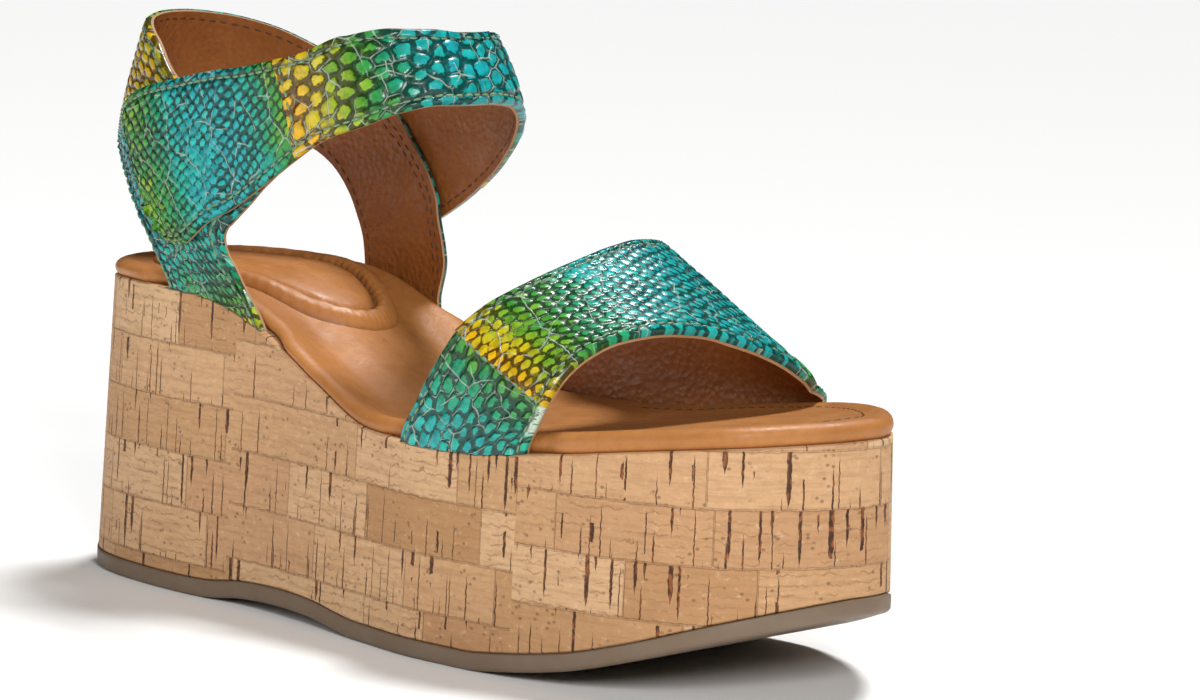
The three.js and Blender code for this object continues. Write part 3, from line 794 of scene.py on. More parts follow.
@dataclass(frozen=True)
class Leather:
    """Plain leather with a fine grain and soft changes of shade, and with painted shade in the creases that
    the mesh marks.
    """

    name: str
    colour: tuple[float, float, float]
    dark: tuple[float, float, float]
    roughness: float = 0.42
    grain: float = 900.0
    depth: float = 0.07 * MM
    strength: float = 0.5

    def make(self) -> bpy.types.Material:
        """The material, on object coordinates.

        Returns:
            The material.
        """
        s = Shader(self.name)
        place = s.place()
        cells = s.node("TexVoronoi", {"Vector": place, "Scale": self.grain, "Randomness": 1.0},
                       feature="F1").outputs["Distance"]
        broad = s.ramp(s.noise(place, 35, 3), 0.3, 0.75)
        small = s.ramp(s.noise(place, 420, 4, 0.6), 0.35, 0.75, 0, 0.35)
        colour = s.blend(small, s.blend(broad, self.colour, s.blend(0.5, self.colour, self.dark)), self.dark)
        # Painted shade: the leather darkens in the creases that the mesh marks, the heel pad's sewn groove
        # and its outer edge.
        crease_shade = s.attribute("crease_shade")
        colour = s.blend(s.math("MULTIPLY", crease_shade, 0.8), colour, tuple(0.45 * c for c in self.dark))
        pores = s.bump(cells, self.depth, self.strength)
        creases = s.bump(s.noise(s.stretched(place, (1.0, 1.6, 1.3)), 300, 4, 0.55), 0.12 * MM, 0.5, pores)
        rough = s.ramp(s.noise(place, 160, 3), 0.3, 0.7, self.roughness - 0.07, self.roughness + 0.1)
        return s.finish(Base_Color=colour, Roughness=rough, Normal=creases, Specular_IOR_Level=0.35)


@dataclass(frozen=True)
class CorkTiles:
    """Cork sheet cut in rows of tiles, with fine wavy bands and dark upright flecks."""

    name: str = "cork_tiles"
    row: float = 13.5 * MM
    tile: float = 42 * MM
    block: float = 95 * MM
    wave: float = 2.3 * MM

    def make(self) -> bpy.types.Material:
        """The material, on the wall's own UV map in metres.

        Returns:
            The material.
        """
        s = Shader(self.name)
        uv = s.uv()
        split = s.node("SeparateXYZ", {0: uv})
        along, up = split.outputs[0], split.outputs[1]
        block = s.voronoi(s.math("DIVIDE", along, self.block))
        step = s.node("SeparateColor", {0: block.outputs["Color"]}).outputs[0]
        ragged = s.math("MULTIPLY", s.noise(s.stretched(uv, (500, 120, 1)), 1.0, 2), 0.9 * MM)
        level = s.math("ADD", s.math("ADD", up, ragged), s.math("MULTIPLY", step, 9 * MM))
        rise = s.math("DIVIDE", level, self.row)
        row_id, height = s.math("FLOOR", rise), s.math("FRACT", rise)
        where = s.math("ADD", s.math("DIVIDE", along, self.tile), s.math("MULTIPLY", row_id, 7.31))
        tiles = s.voronoi(where)
        tile_edge = s.voronoi(where, feature="DISTANCE_TO_EDGE").outputs["Distance"]
        pick = s.node("SeparateColor", {0: tiles.outputs["Color"]})
        base, mottle, grain_place = self.veneer(s, uv, pick)
        crowd = s.ramp(s.noise(s.stretched(uv, (26, 60, 1)), 1.0, 1), 0.35, 0.65, 0.26, 0.85)
        strokes = self.strokes(s, uv, row_id, height, 3.1 * MM, 0.0, crowd)
        more = self.strokes(s, uv, row_id, height, 7.3 * MM, 31.7, s.math("MULTIPLY", crowd, 0.9))
        flecks = s.math("MAXIMUM", strokes, more)
        specks = s.voronoi(s.stretched(grain_place, (330, 420, 1)), dimensions="2D")
        dots = s.math("MULTIPLY", s.ramp(specks.outputs["Distance"], 0.1, 0.22, 1, 0),
                      s.ramp(s.noise(grain_place, 150, 2), 0.52, 0.62))
        fray = s.noise(s.stretched(uv, (900, 420, 1)), 1.0, 3, 0.6)
        dark = s.blend(s.ramp(fray, 0.46, 0.62), (0.035, 0.010, 0.004), (0.26, 0.075, 0.018))
        base = s.blend(s.math("MULTIPLY", dots, 0.6), base, (0.14, 0.07, 0.035))
        base = s.blend(s.math("MULTIPLY", flecks, 0.95), base, dark)
        row_edge = s.math("MINIMUM", height, s.math("SUBTRACT", 1.0, height))
        seam = s.math("MAXIMUM", s.ramp(row_edge, 0.008, 0.03, 1, 0), s.ramp(tile_edge, 0.002, 0.007, 1, 0))
        base = s.blend(s.math("MULTIPLY", seam, s.ramp(fray, 0.4, 0.6, 0.1, 0.45)), base, (0.26, 0.13, 0.06))
        pits = s.math("SUBTRACT", s.math("MULTIPLY", mottle, 0.4), s.math("MAXIMUM", flecks, seam))
        return s.finish(Base_Color=base, Roughness=0.68, Normal=s.bump(pits, 0.35 * MM, 0.8),
                        Specular_IOR_Level=0.35)

    def veneer(self, s: Shader, uv: bpy.types.NodeSocket,
               pick: bpy.types.Node) -> tuple[bpy.types.NodeSocket, ...]:
        """The cork of each tile, with its bands, wavy lines and mottle.

        Args:
            s: The shader to add to.
            uv: The wall's coordinates in metres.
            pick: The tile's own three random values.

        Returns:
            The colour, the mottle and the grain's coordinates.
        """
        along, up = s.node("SeparateXYZ", {0: uv}).outputs[:2]
        tone, warmth, lined = pick.outputs
        base = s.colours(tone, (
            (0.0, (0.46, 0.245, 0.105)), (0.3, (0.56, 0.325, 0.155)), (0.6, (0.64, 0.385, 0.20)),
            (1.0, (0.74, 0.50, 0.28)),
        ))
        base = s.blend(s.math("MULTIPLY", warmth, 0.5), base, (0.52, 0.275, 0.14))
        shifted = s.math("ADD", up, s.math("MULTIPLY", tone, 3.0))
        grain_place = s.node("CombineXYZ", {0: along, 1: shifted, 2: 0.0}).outputs[0]
        bands = s.noise(s.stretched(grain_place, (60, 700, 1)), 1.0, 4, 0.6)
        sway = s.math("MULTIPLY", s.noise(s.stretched(grain_place, (300, 90, 1)), 1.0, 3, 0.55), 4 * MM)
        wavy = s.math("SINE", s.math("MULTIPLY", s.math("ADD", shifted, sway), math.tau / self.wave))
        thin = s.math("MULTIPLY", s.ramp(wavy, 0.72, 0.99), s.ramp(s.noise(uv, 190, 3), 0.42, 0.6))
        base = s.blend(s.ramp(bands, 0.36, 0.56, 0.3, 0), base, (0.34, 0.17, 0.07))
        drawn = s.math("MULTIPLY", thin, s.ramp(lined, 0.2, 0.9, 0.12, 0.62))
        base = s.blend(drawn, base, (0.28, 0.135, 0.055))
        mottle = s.noise(s.stretched(grain_place, (420, 520, 1)), 1.0, 4, 0.7)
        base = s.blend(s.ramp(mottle, 0.5, 0.72, 0, 0.35), base, (0.36, 0.18, 0.08))
        base = s.blend(s.ramp(mottle, 0.28, 0.45, 0.3, 0), base, (0.86, 0.64, 0.40))
        return base, mottle, grain_place

    def strokes(self, s: Shader, uv: bpy.types.NodeSocket, row_id: bpy.types.NodeSocket,
                height: bpy.types.NodeSocket, pitch: float, seed: float,
                chance: bpy.types.NodeSocket) -> bpy.types.NodeSocket:
        """Upright dark flecks that hang from a row's border, with ragged sides.

        Args:
            s: The shader to add to.
            uv: The wall's coordinates.
            row_id: The row's own number.
            height: The place within the row, from 0 to 1.
            pitch: Room for each fleck along the wall, in metres.
            seed: Sets the flecks apart from another layer's.
            chance: The share of the flecks that show.

        Returns:
            1 on a fleck and 0 beside it.
        """
        along = s.node("SeparateXYZ", {0: uv}).outputs[0]
        unsteady = s.noise(s.stretched(uv, (260, 620, 1)), 1.0, 3, 0.65)
        wobble = s.math("MULTIPLY_ADD", unsteady, 0.9 * MM, along)
        where = s.math("MULTIPLY_ADD", row_id, 13.77 + seed, s.math("DIVIDE", wobble, pitch))
        cells = s.voronoi(where, 0.95)
        shows, wide, long = s.node("SeparateColor", {0: cells.outputs["Color"]}).outputs
        turned = s.math("GREATER_THAN", wide, 0.62)
        hung = s.math("ABSOLUTE", s.math("SUBTRACT", turned, height))
        left = s.math("SUBTRACT", s.math("MULTIPLY_ADD", long, 0.95, 0.12), hung)
        half = s.math("MULTIPLY_ADD", s.math("POWER", wide, 3.0), 0.58 * MM / pitch, 0.13 * MM / pitch)
        taper = s.ramp(left, 0.0, 0.3, 0.0, 1.0)
        width = s.math("MULTIPLY", half, taper)
        present = s.math("LESS_THAN", shows, chance)
        away = s.math("DIVIDE", cells.outputs["Distance"], s.math("MAXIMUM", width, 0.0001))
        return s.math("MULTIPLY", s.ramp(away, 0.75, 1.1, 1.0, 0.0), present)


@dataclass(frozen=True)
class Rubber:
    """Smooth moulded rubber, with fine ribs where it faces the floor."""

    name: str = "taupe_rubber"
    colour: tuple[float, float, float] = (0.185, 0.125, 0.078)
    rib: float = 3.2 * MM

    def make(self) -> bpy.types.Material:
        """The material, on object coordinates.

        Returns:
            The material.
        """
        s = Shader(self.name)
        place = s.place()
        along = s.node("SeparateXYZ", {0: place}).outputs[0]
        facing = s.node("SeparateXYZ", {0: s.node("NewGeometry").outputs["Normal"]}).outputs[2]
        down = s.math("MULTIPLY", facing, -1.0)
        ribs = s.math("MULTIPLY", s.math("SINE", s.math("MULTIPLY", along, math.tau / self.rib)),
                      s.ramp(down, 0.8, 0.95))
        worn = s.ramp(s.noise(place, 90, 4, 0.6), 0.35, 0.75)
        colour = s.blend(s.math("MULTIPLY", worn, 0.3), self.colour, (0.22, 0.17, 0.125))
        fine = s.bump(s.noise(place, 1500, 3), 0.05 * MM, 0.5)
        rough = s.ramp(s.noise(place, 200, 2), 0.3, 0.7, 0.48, 0.62)
        return s.finish(Base_Color=colour, Roughness=rough, Normal=s.bump(ribs, 0.4 * MM, 0.6, fine))


@dataclass(frozen=True)
class Fuzz:
    """Looped pile of a hook-and-loop tape."""

    name: str = "loop_pile"

    def make(self) -> bpy.types.Material:
        """The material, on object coordinates.

        Returns:
            The material.
        """
        s = Shader(self.name)
        place = s.place()
        loops = s.node("TexVoronoi", {"Vector": place, "Scale": 1800.0}, feature="F1").outputs["Distance"]
        colour = s.blend(s.ramp(loops, 0.1, 0.6), (0.012, 0.06, 0.065), (0.003, 0.016, 0.02))
        pile = s.bump(loops, 0.4 * MM, 1.0)
        return s.finish(Base_Color=colour, Roughness=0.95, Normal=pile, Sheen_Weight=0.4)


@dataclass(frozen=True)
class Thread:
    """Twisted sewing thread."""

    name: str
    colour: tuple[float, float, float]

    def make(self) -> bpy.types.Material:
        """The material, on object coordinates.

        Returns:
            The material.
        """
        s = Shader(self.name)
        place = s.place()
        twist = s.noise(place, 3000, 2)
        colour = s.blend(s.ramp(twist, 0.3, 0.7, 0, 0.4), self.colour, (0.02, 0.015, 0.01))
        return s.finish(Base_Color=colour, Roughness=0.55, Normal=s.bump(twist, 0.08 * MM, 0.5))


TAN = (0.50, 0.205, 0.055)


@dataclass
class Finishes:
    """Every material of the sandal, made once."""

    snake: bpy.types.Material = field(default_factory=lambda: SnakePrint().make())
    footbed: bpy.types.Material = field(
        default_factory=lambda: Leather("footbed_leather", TAN, (0.30, 0.105, 0.024), roughness=0.46).make())
    lining: bpy.types.Material = field(
        default_factory=lambda: Leather("lining_leather", (0.34, 0.118, 0.026), (0.19, 0.060, 0.012),
                                        roughness=0.4, grain=620, depth=0.3 * MM, strength=0.9).make())
    cut: bpy.types.Material = field(
        default_factory=lambda: Leather("cut_edge", (0.50, 0.30, 0.16), (0.30, 0.16, 0.08), roughness=0.7,
                                        grain=1500).make())
    cork: bpy.types.Material = field(default_factory=lambda: CorkTiles().make())
    rubber: bpy.types.Material = field(default_factory=lambda: Rubber().make())
    pile: bpy.types.Material = field(default_factory=lambda: Fuzz().make())
    pale_thread: bpy.types.Material = field(
        default_factory=lambda: Thread("olive_thread", (0.22, 0.36, 0.20)).make())
    brown_thread: bpy.types.Material = field(
        default_factory=lambda: Thread("brown_thread", (0.10, 0.038, 0.014)).make())


def dress(piece: bpy.types.Object, materials: list[bpy.types.Material], slot: Slot, *nodes: str) -> None:
    """Give a finished piece its materials and body, and hide the CAD nodes it stands for.

    Args:
        piece: The finished piece.
        materials: Its materials, in the order of its slots.
        slot: The record's slot for it; not used.
        *nodes: The CAD nodes it stands for.
    """
    piece.data.materials.clear()
    for material in materials:
        piece.data.materials.append(material)
    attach(piece, BODY)
    if nodes:
        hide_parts(*nodes)
    log.info("%s: %d faces", piece.name, len(piece.data.polygons))


@dataclass
class Ring:
    """Plan points round the sole, outer side to the toe and back along the inner side."""

    steps: int = 170

    def __post_init__(self) -> None:
        """Work out the points, their sides and their outward directions."""
        share = (1 - np.cos(np.pi * np.linspace(0, 1, self.steps + 1))) / 2
        x = np.concatenate([share, share[-2:0:-1]]) * LAST.length
        self.side = np.concatenate([-np.ones(self.steps + 1), np.ones(self.steps - 1)])
        y = self.side * LAST.half_width(x, self.side)
        along = np.stack([np.roll(x, -1) - np.roll(x, 1), np.roll(y, -1) - np.roll(y, 1)])
        along /= np.linalg.norm(along, axis=0)
        self.x, self.y = x, y
        self.out_x, self.out_y = along[1], -along[0]
        walk = np.hypot(np.diff(x, append=x[0]), np.diff(y, append=y[0]))
        self.walk = np.concatenate([[0], np.cumsum(walk)])

    def loop(self, out: Array | float, height: Height) -> Array:
        """Points moved out from the outline, at height(x, y)."""
        x, y = self.x + self.out_x * out, self.y + self.out_y * out
        return np.stack([x, y, height(x, y)], -1)

    def towards_middle(self, loop: Array, share: float, height: Height) -> Array:
        """A loop drawn in towards the middle line, all the way at a share of 1.

        Args:
            loop: The loop to draw in.
            share: How far it goes in.
            height: Heights for the new points.

        Returns:
            The new loop.
        """
        ends = LAST.ball_width / 3
        middle_x = np.clip(self.x, ends, LAST.length - ends)
        x = mix(loop[:, 0], middle_x, share)
        y = mix(loop[:, 1], LAST.middle_y(middle_x), share)
        return np.stack([x, y, height(x, y)], -1)

    def closed(self, loops: list[Array]) -> Array:
        """The loops as rows, each with its first point again at its end."""
        return np.stack([np.concatenate([loop, loop[:1]]) for loop in loops])


RING = Ring()


def shell(name: str, loops: list[Array]) -> bpy.types.Object:
    """A closed body through loops round the sole, with UV along the outline and up the wall.

    Args:
        name: The piece's name.
        loops: Loops from the middle of one face to the middle of the other.

    Returns:
        The closed piece.
    """
    points = RING.closed(loops)
    along = np.broadcast_to(RING.walk, points.shape[:2])
    piece = sheet(name, points, np.stack([along, points[..., 2]], -1))
    grid_places(piece)
    close_shell(piece)
    return piece


@dataclass
class Sole:
    """Outsole and cork wedge."""

    edge_round: float = 1.2 * MM
    lip: float = 0.3 * MM
    seat_gap: float = 0.12 * MM
    broken_edge: float = 0.5 * MM
    edge_drop: float = 0.4 * MM
    wall_rows: int = 10

    def flare(self, share: float) -> Array:
        """How far the cork wall stands out, from its foot at a share of 0 to its top at 1."""
        return LAST.wedge_flare * LAST.outline["flare"](turn_at(RING.x / LAST.length)) * (1 - share)

    def outsole(self) -> bpy.types.Object:
        """Thin rubber sole with a rounded lower edge.

        Returns:
            The piece, not dressed yet.
        """
        e, thick = self.edge_round, LAST.outsole_thickness
        floor_side, cork_side = over_bottom(0), over_bottom(thick)
        wide = self.flare(0) + self.lip
        sole, top = RING.loop(wide - 1.6 * e, floor_side), RING.loop(wide - 1.2 * e, cork_side)
        loops = [RING.towards_middle(sole, share, floor_side) for share in (1, 0.75, 0.5, 0.25)] + [sole]
        for t in np.radians((15, 35, 55, 75, 90)):
            loops.append(RING.loop(wide - e * (1 - math.sin(t)), over_bottom(e * (1 - math.cos(t)))))
        for t in np.radians((0, 40, 75)):
            drop = 0.5 * e * (1 - math.sin(t))
            loops.append(RING.loop(wide - 0.5 * e * (1 - math.cos(t)), over_bottom(thick - drop)))
        loops.append(top)
        loops += [RING.towards_middle(top, share, cork_side) for share in (0.25, 0.5, 0.75, 1)]
        return shell("outsole_rubber", loops)

    def wedge(self) -> bpy.types.Object:
        """Cork wall and top, with its edges just broken.

        Returns:
            The piece, not dressed yet.
        """
        foot_lift = LAST.outsole_thickness + self.seat_gap
        foot, face = over_bottom(foot_lift), over_cork()
        low, high = over_bottom(foot_lift + self.edge_drop), over_cork(-self.edge_drop)
        base, top = RING.loop(self.flare(0) - self.broken_edge, foot), RING.loop(-self.broken_edge, face)
        loops = [RING.towards_middle(base, share, foot) for share in (1, 0.6, 0.3)] + [base]
        for share in np.linspace(0, 1, self.wall_rows + 1):
            loops.append(RING.loop(self.flare(share), between(low, high, share)))
        loops += [top] + [RING.towards_middle(top, share, face) for share in (0.3, 0.6, 1)]
        return shell("cork_wall", loops)

    def build(self, finishes: Finishes) -> None:
        """Make and dress both pieces.

        Args:
            finishes: The sandal's materials.
        """
        outsole = self.outsole()
        smooth(outsole, 50)
        dress(outsole, [finishes.rubber], Slot.RUBBER, "outsole")
        wedge = self.wedge()
        smooth(wedge, 35)
        dress(wedge, [finishes.cork], Slot.CORK, "cork_wedge")


def walked(values: Array, walk: Array, where: float) -> Array:
    """The value of a path's points at a length walked along it."""
    return np.array([np.interp(where, walk, values[:, k]) for k in range(3)])


@dataclass
class Stitching:
    """Runs of stitches, gathered in one joined mesh."""

    name: str
    length: float = 2.1 * MM
    gap: float = 0.9 * MM
    radius: float = 0.3 * MM
    places: list[tuple[Array, Array, Array]] = field(default_factory=list)

    def run(self, path: Array, normals: Array) -> None:
        """Lay stitches along a path on a surface.

        Args:
            path: Points along the line.
            normals: The surface's outward normals there.
        """
        walk = np.concatenate([[0], np.cumsum(np.linalg.norm(np.diff(path, axis=0), axis=1))])
        pitch = self.length + self.gap
        count = int(walk[-1] / pitch)
        for middle in (np.arange(count) + 0.5) * walk[-1] / max(count, 1):
            along = walked(path, walk, middle + 0.5 * MM) - walked(path, walk, middle - 0.5 * MM)
            along /= np.linalg.norm(along)
            self.places.append((walked(path, walk, middle), along, walked(normals, walk, middle)))

    def build(self, material: bpy.types.Material) -> bpy.types.Object:
        """Model one stitch and copy it to every place.

        Args:
            material: The thread's material.

        Returns:
            The joined stitches.
        """
        deselect_all()
        bpy.ops.mesh.primitive_uv_sphere_add(segments=8, ring_count=6, radius=1)
        piece = bpy.context.object
        piece.name = self.name
        template = np.array([vertex.co for vertex in piece.data.vertices])
        template *= (self.length / 2, self.radius, self.radius * 0.8)
        faces = [list(polygon.vertices) for polygon in piece.data.polygons]
        all_points, all_faces = [], []
        for count, (middle, along, normal) in enumerate(self.places):
            across = np.cross(normal, along)
            across /= np.linalg.norm(across)
            up = np.cross(along, across)
            turned = template @ np.stack([along, across, up]) + middle + SHIFT + up * 0.1 * self.radius
            all_points.append(turned)
            all_faces += [[index + count * len(template) for index in face] for face in faces]
        mesh = bpy.data.meshes.new(self.name)
        mesh.from_pydata(np.concatenate(all_points).tolist(), [], all_faces)
        old, piece.data = piece.data, mesh
        bpy.data.meshes.remove(old)
        smooth(piece, 60)
        dress(piece, [material], Slot.THREAD)
        return piece


@dataclass
class Footbed:
    """Leather-covered insole with a rolled rim, and the padded oval in its heel."""

    margin: float = 1 * MM
    ramp: float = 9 * MM
    foot_gap: float = 0.5 * MM
    pad_length: float = 76 * MM
    pad_width: float = 46 * MM
    heel_margin: float = 8 * MM
    crown: float = 2.6 * MM
    crown_share: float = PAD_SECTION["height"][-1]
    skirt: float = 1.2 * MM
    welt_inset: float = 7 * MM
    welt_depth: float = 0.4 * MM
    hollow_depth: float = 2.3 * MM
    roll_height: float = 0.5 * MM
    pad_groove: float = 6.7 * MM
    pad_seam: float = 7.2 * MM
    feet: tuple[tuple[Side, float, float], ...] = ()

    def pressed(self) -> Array:
        """How far each point of the rim is pressed in by a strap's foot, from 0 to 1.

        Returns:
            The share at each point of the ring.
        """
        total = np.zeros_like(RING.x)
        for side, start, end in self.feet:
            rise = smoothstep(RING.x, start - self.margin - self.ramp, start - self.margin)
            fall = 1 - smoothstep(RING.x, end + self.margin, end + self.margin + self.ramp)
            total = np.maximum(total, np.where(RING.side == side.value, rise * fall, 0))
        return total

    def top(self, x: Array, y: Array) -> Array:
        """The upper face, with a sewn welt line inside the rim and soft hollows at the waist.

        Args:
            x: Places along the sole.
            y: Places across it.

        Returns:
            The height at each place.
        """
        middle = LAST.middle_y(x)
        half = LAST.half_width(x, np.where(y < middle, -1, 1))
        from_edge = half - np.abs(y)
        front = smoothstep(x, 0.55 * LAST.length, 0.62 * LAST.length)
        groove = self.welt_depth * front * bell(from_edge, self.welt_inset, 1.1 * MM)
        along = smoothstep(x, 0.25 * LAST.length, 0.36 * LAST.length)
        along = along * (1 - smoothstep(x, 0.48 * LAST.length, 0.58 * LAST.length))
        hollow = self.hollow_depth * along * bell(from_edge, 15 * MM, 7 * MM)
        roll = self.roll_height * along * bell(from_edge, 5 * MM, 3 * MM)
        return LAST.footbed_top(x, y) - groove - hollow + roll

    def bed(self) -> bpy.types.Object:
        """The footbed's body.

        Returns:
            The piece, not dressed yet.
        """
        press = (LAST.wall + self.foot_gap) * self.pressed()
        r = LAST.rim_round
        under = over_cork(0.05 * MM)
        base = RING.loop(-press - r, under)
        loops = [RING.towards_middle(base, share, under) for share in (1, 0.5)] + [base]
        for turn in np.radians(np.linspace(-75, 90, 12)):
            inset = r * (1 - math.cos(turn)) * (1.0 if turn < 0 else 1.5)
            loops.append(RING.loop(-press - inset, over_cork(rim_share=0.45 + 0.5 * math.sin(turn))))
        inner = RING.loop(-press - 2.4 * r, self.top)
        shares = np.concatenate([np.linspace(0, 0.4, 22)[1:], np.linspace(0.4, 1, 14)[1:]])
        loops += [inner] + [RING.towards_middle(inner, share, self.top) for share in shares]
        return shell("footbed_leather", loops)

    def pad_height(self, inset: Array, turn: Array) -> Array:
        """The pad's height over the footbed: an outer ridge, a sewn groove and a crowned middle.

        Args:
            inset: Distance in from the pad's outline.
            turn: Angle round the pad.

        Returns:
            The height over the footbed.
        """
        insets, heights = np.array(PAD_SECTION["inset"]) * MM, np.array(PAD_SECTION["height"]) * self.crown
        broad = np.sin(26 * turn + 1.7 * np.sin(3 * turn)) * bell(inset, 6 * MM, 1.8 * MM)
        tight = np.sin(71 * turn + 2.3 * np.sin(5 * turn)) * bell(inset, 6.4 * MM, 1.1 * MM)
        outer = np.sin(64 * turn + 2.6 * np.sin(4 * turn)) * bell(inset, 1.5 * MM, 1.0 * MM)
        return Curve(insets, heights)(inset) + (0.24 * broad + 0.36 * tight + 0.13 * outer) * MM

    def oval(self, turns: Array, inset: float, lift: Array | float) -> Array:
        """One ring of the pad, drawn in by an inset and lifted off the footbed.

        Args:
            turns: Angles round the pad.
            inset: Distance in from the pad's outline.
            lift: Height over the footbed.

        Returns:
            The ring's points.
        """
        centre = self.heel_margin + self.pad_length / 2
        x = centre + np.cos(turns) * (self.pad_length / 2 - inset)
        y = LAST.middle_y(np.array([centre]))[0] + np.sin(turns) * (self.pad_width / 2 - inset)
        return np.stack([x, y, self.top(x, y) + lift], -1)

    def pad(self) -> bpy.types.Object:
        """The padded oval, with its skirt just under the footbed's face.

        Returns:
            The piece, not dressed yet.
        """
        turns = np.linspace(0, 2 * np.pi, 361)
        centre = self.heel_margin + self.pad_length / 2
        run = (self.pad_length - self.pad_width) / 2
        insets = np.concatenate([np.linspace(0, 12, 31), np.linspace(13, 22.5, 9)]) * MM
        rows = [self.oval(turns, 0, -self.skirt)]
        for inset in insets:
            rows.append(self.oval(turns, inset, self.pad_height(np.full_like(turns, inset), turns)))
        spine = self.oval(turns, 0, 0)
        spine[:, 0] = np.clip(spine[:, 0], centre - run, centre + run)
        spine[:, 1] = LAST.middle_y(np.array([centre]))[0]
        spine[:, 2] = self.top(spine[:, 0], spine[:, 1]) + self.crown_share * self.crown
        under = spine.copy()
        under[:, 2] -= self.crown_share * self.crown + self.skirt
        points = np.stack([under, *rows, spine])
        piece = sheet("heel_pad_leather", points, points[..., :2])
        row, _ = grid_places(piece)
        # Painted shade: how dark the leather is painted in the pad's sewn groove and along its outer edge.
        depth = np.concatenate([[0, 0], bell(insets, self.pad_groove, 0.75 * MM), [0]])
        depth = depth + np.concatenate([[1, 1], bell(insets, 0, 0.5 * MM), [0]])
        store(piece, "crease_shade", np.clip(depth, 0, 1)[row])
        close_shell(piece)
        return piece

    def stitches(self) -> Stitching:
        """Stitch runs inside the rim and round the pad's groove.

        Returns:
            The runs, not built yet.
        """
        sewn = Stitching("footbed_stitches", radius=0.24 * MM)
        press = (LAST.wall + self.foot_gap) * self.pressed()
        welt = RING.loop(-press - self.welt_inset, self.top)[RING.x > 0.6 * LAST.length]
        turns = np.linspace(0, 2 * np.pi, 200)
        lift = self.pad_height(np.full_like(turns, self.pad_seam), turns)
        for line in (welt, self.oval(turns, self.pad_seam, lift)):
            sewn.run(line, np.broadcast_to([0.0, 0.0, 1.0], line.shape))
        return sewn

    def build(self, finishes: Finishes) -> None:
        """Make and dress the footbed, the pad and their stitches.

        Args:
            finishes: The sandal's materials.
        """
        bed = self.bed()
        smooth(bed, 60)
        dress(bed, [finishes.footbed], Slot.TAN, "footbed")
        pad = self.pad()
        smooth(pad, 70)
        dress(pad, [finishes.footbed], Slot.TAN, "heel_pad")
        self.stitches().build(finishes.brown_thread)


@dataclass(frozen=True)
class Panel:
    """A stretch of a strap cut from one skin.

    Its scales have their own pitch, shape and lean, and its skin stands proud by lift.
    """

    start: float
    end: float
    pitch: float = 3.8 * MM
    aspect: float = 1.15
    lean: float = 0.0
    lift: float = 0.0
    square: float = 2.6
    stagger: float = 0.5
    fill: float = 0.0


@dataclass
class ScaleField:
    """The scales' print and relief on a strap, worked out on its own surface in metres."""

    seed: int
    sway: float = 1.8 * MM

    def warp(self, s: Array, t: Array) -> tuple[Array, Array]:
        """Bend the rows of scales gently."""
        return s + self.sway * self.bend(s, t), t + self.sway * self.bend(t + 0.4, s)

    def bend(self, a: Array, b: Array) -> Array:
        """A slow uneven wave from -1 to 1."""
        return np.sin(a * 61 + 1.3) * 0.5 + np.sin(b * 97 + a * 43) * 0.5

    def cells(self, s: Array, t: Array, panel: Panel) -> tuple[Array, Array]:
        """Distance to the edge of the nearest scale, and the scale's own random tone.

        Args:
            s: Metres along the strap.
            t: Metres across it.
            panel: The skin whose scales these are.

        Returns:
            The distance in shares of the pitch and the tone from 0 to 1.
        """
        s, t = self.warp(s, t)
        cos, sin = math.cos(panel.lean), math.sin(panel.lean)
        a = (s * cos + t * sin) / (panel.pitch * panel.aspect)
        b = (t * cos - s * sin) / (panel.pitch * 0.86)
        row = np.floor(b)
        nearest, second = np.full_like(a, 9.0), np.full_like(a, 9.0)
        tone = np.zeros_like(a)
        for dr in (-1, 0, 1):
            r = row + dr
            stagger = panel.stagger * (np.mod(r, 2))
            base = np.floor(a - stagger)
            for dc in (-1, 0, 1, 2):
                c = base + dc
                grain = np.sin(c * 127.1 + r * 311.7 + self.seed * 74.7) * 43758.5453
                first = grain - np.floor(grain)
                other = np.sin(c * 269.5 + r * 183.3 + self.seed * 11.9) * 24634.6345
                other = other - np.floor(other)
                da = a - (c + stagger) - 0.45 * (first - 0.5)
                db = (b - r - 0.5 - 0.4 * (other - 0.5)) * 0.9
                away = (np.abs(da) ** panel.square + np.abs(db) ** panel.square) ** (1 / panel.square)
                closer = away < nearest
                second = np.where(closer, nearest, np.minimum(second, away))
                tone = np.where(closer, first, tone)
                nearest = np.where(closer, away, nearest)
        return (second - nearest) / 2 + panel.fill, tone

    def fill(self, s: Array, t: Array, u: Array, panels: tuple[Panel, ...]) -> tuple[Array, Array, Array]:
        """Edge distance, tone and lift over all of a strap's panels.

        Args:
            s: Metres along the strap.
            t: Metres across it.
            u: Shares along the strap.
            panels: The strap's skins.

        Returns:
            The edge distance, the tone and the lift.
        """
        edge, tone, lift = np.zeros_like(s), np.zeros_like(s), np.zeros_like(s)
        for panel in panels:
            here = (u >= panel.start) & (u <= panel.end)
            e, n = self.cells(s, t, panel)
            edge, tone = np.where(here, e, edge), np.where(here, n, tone)
            lift = np.where(here, panel.lift, lift)
        return edge, tone, lift


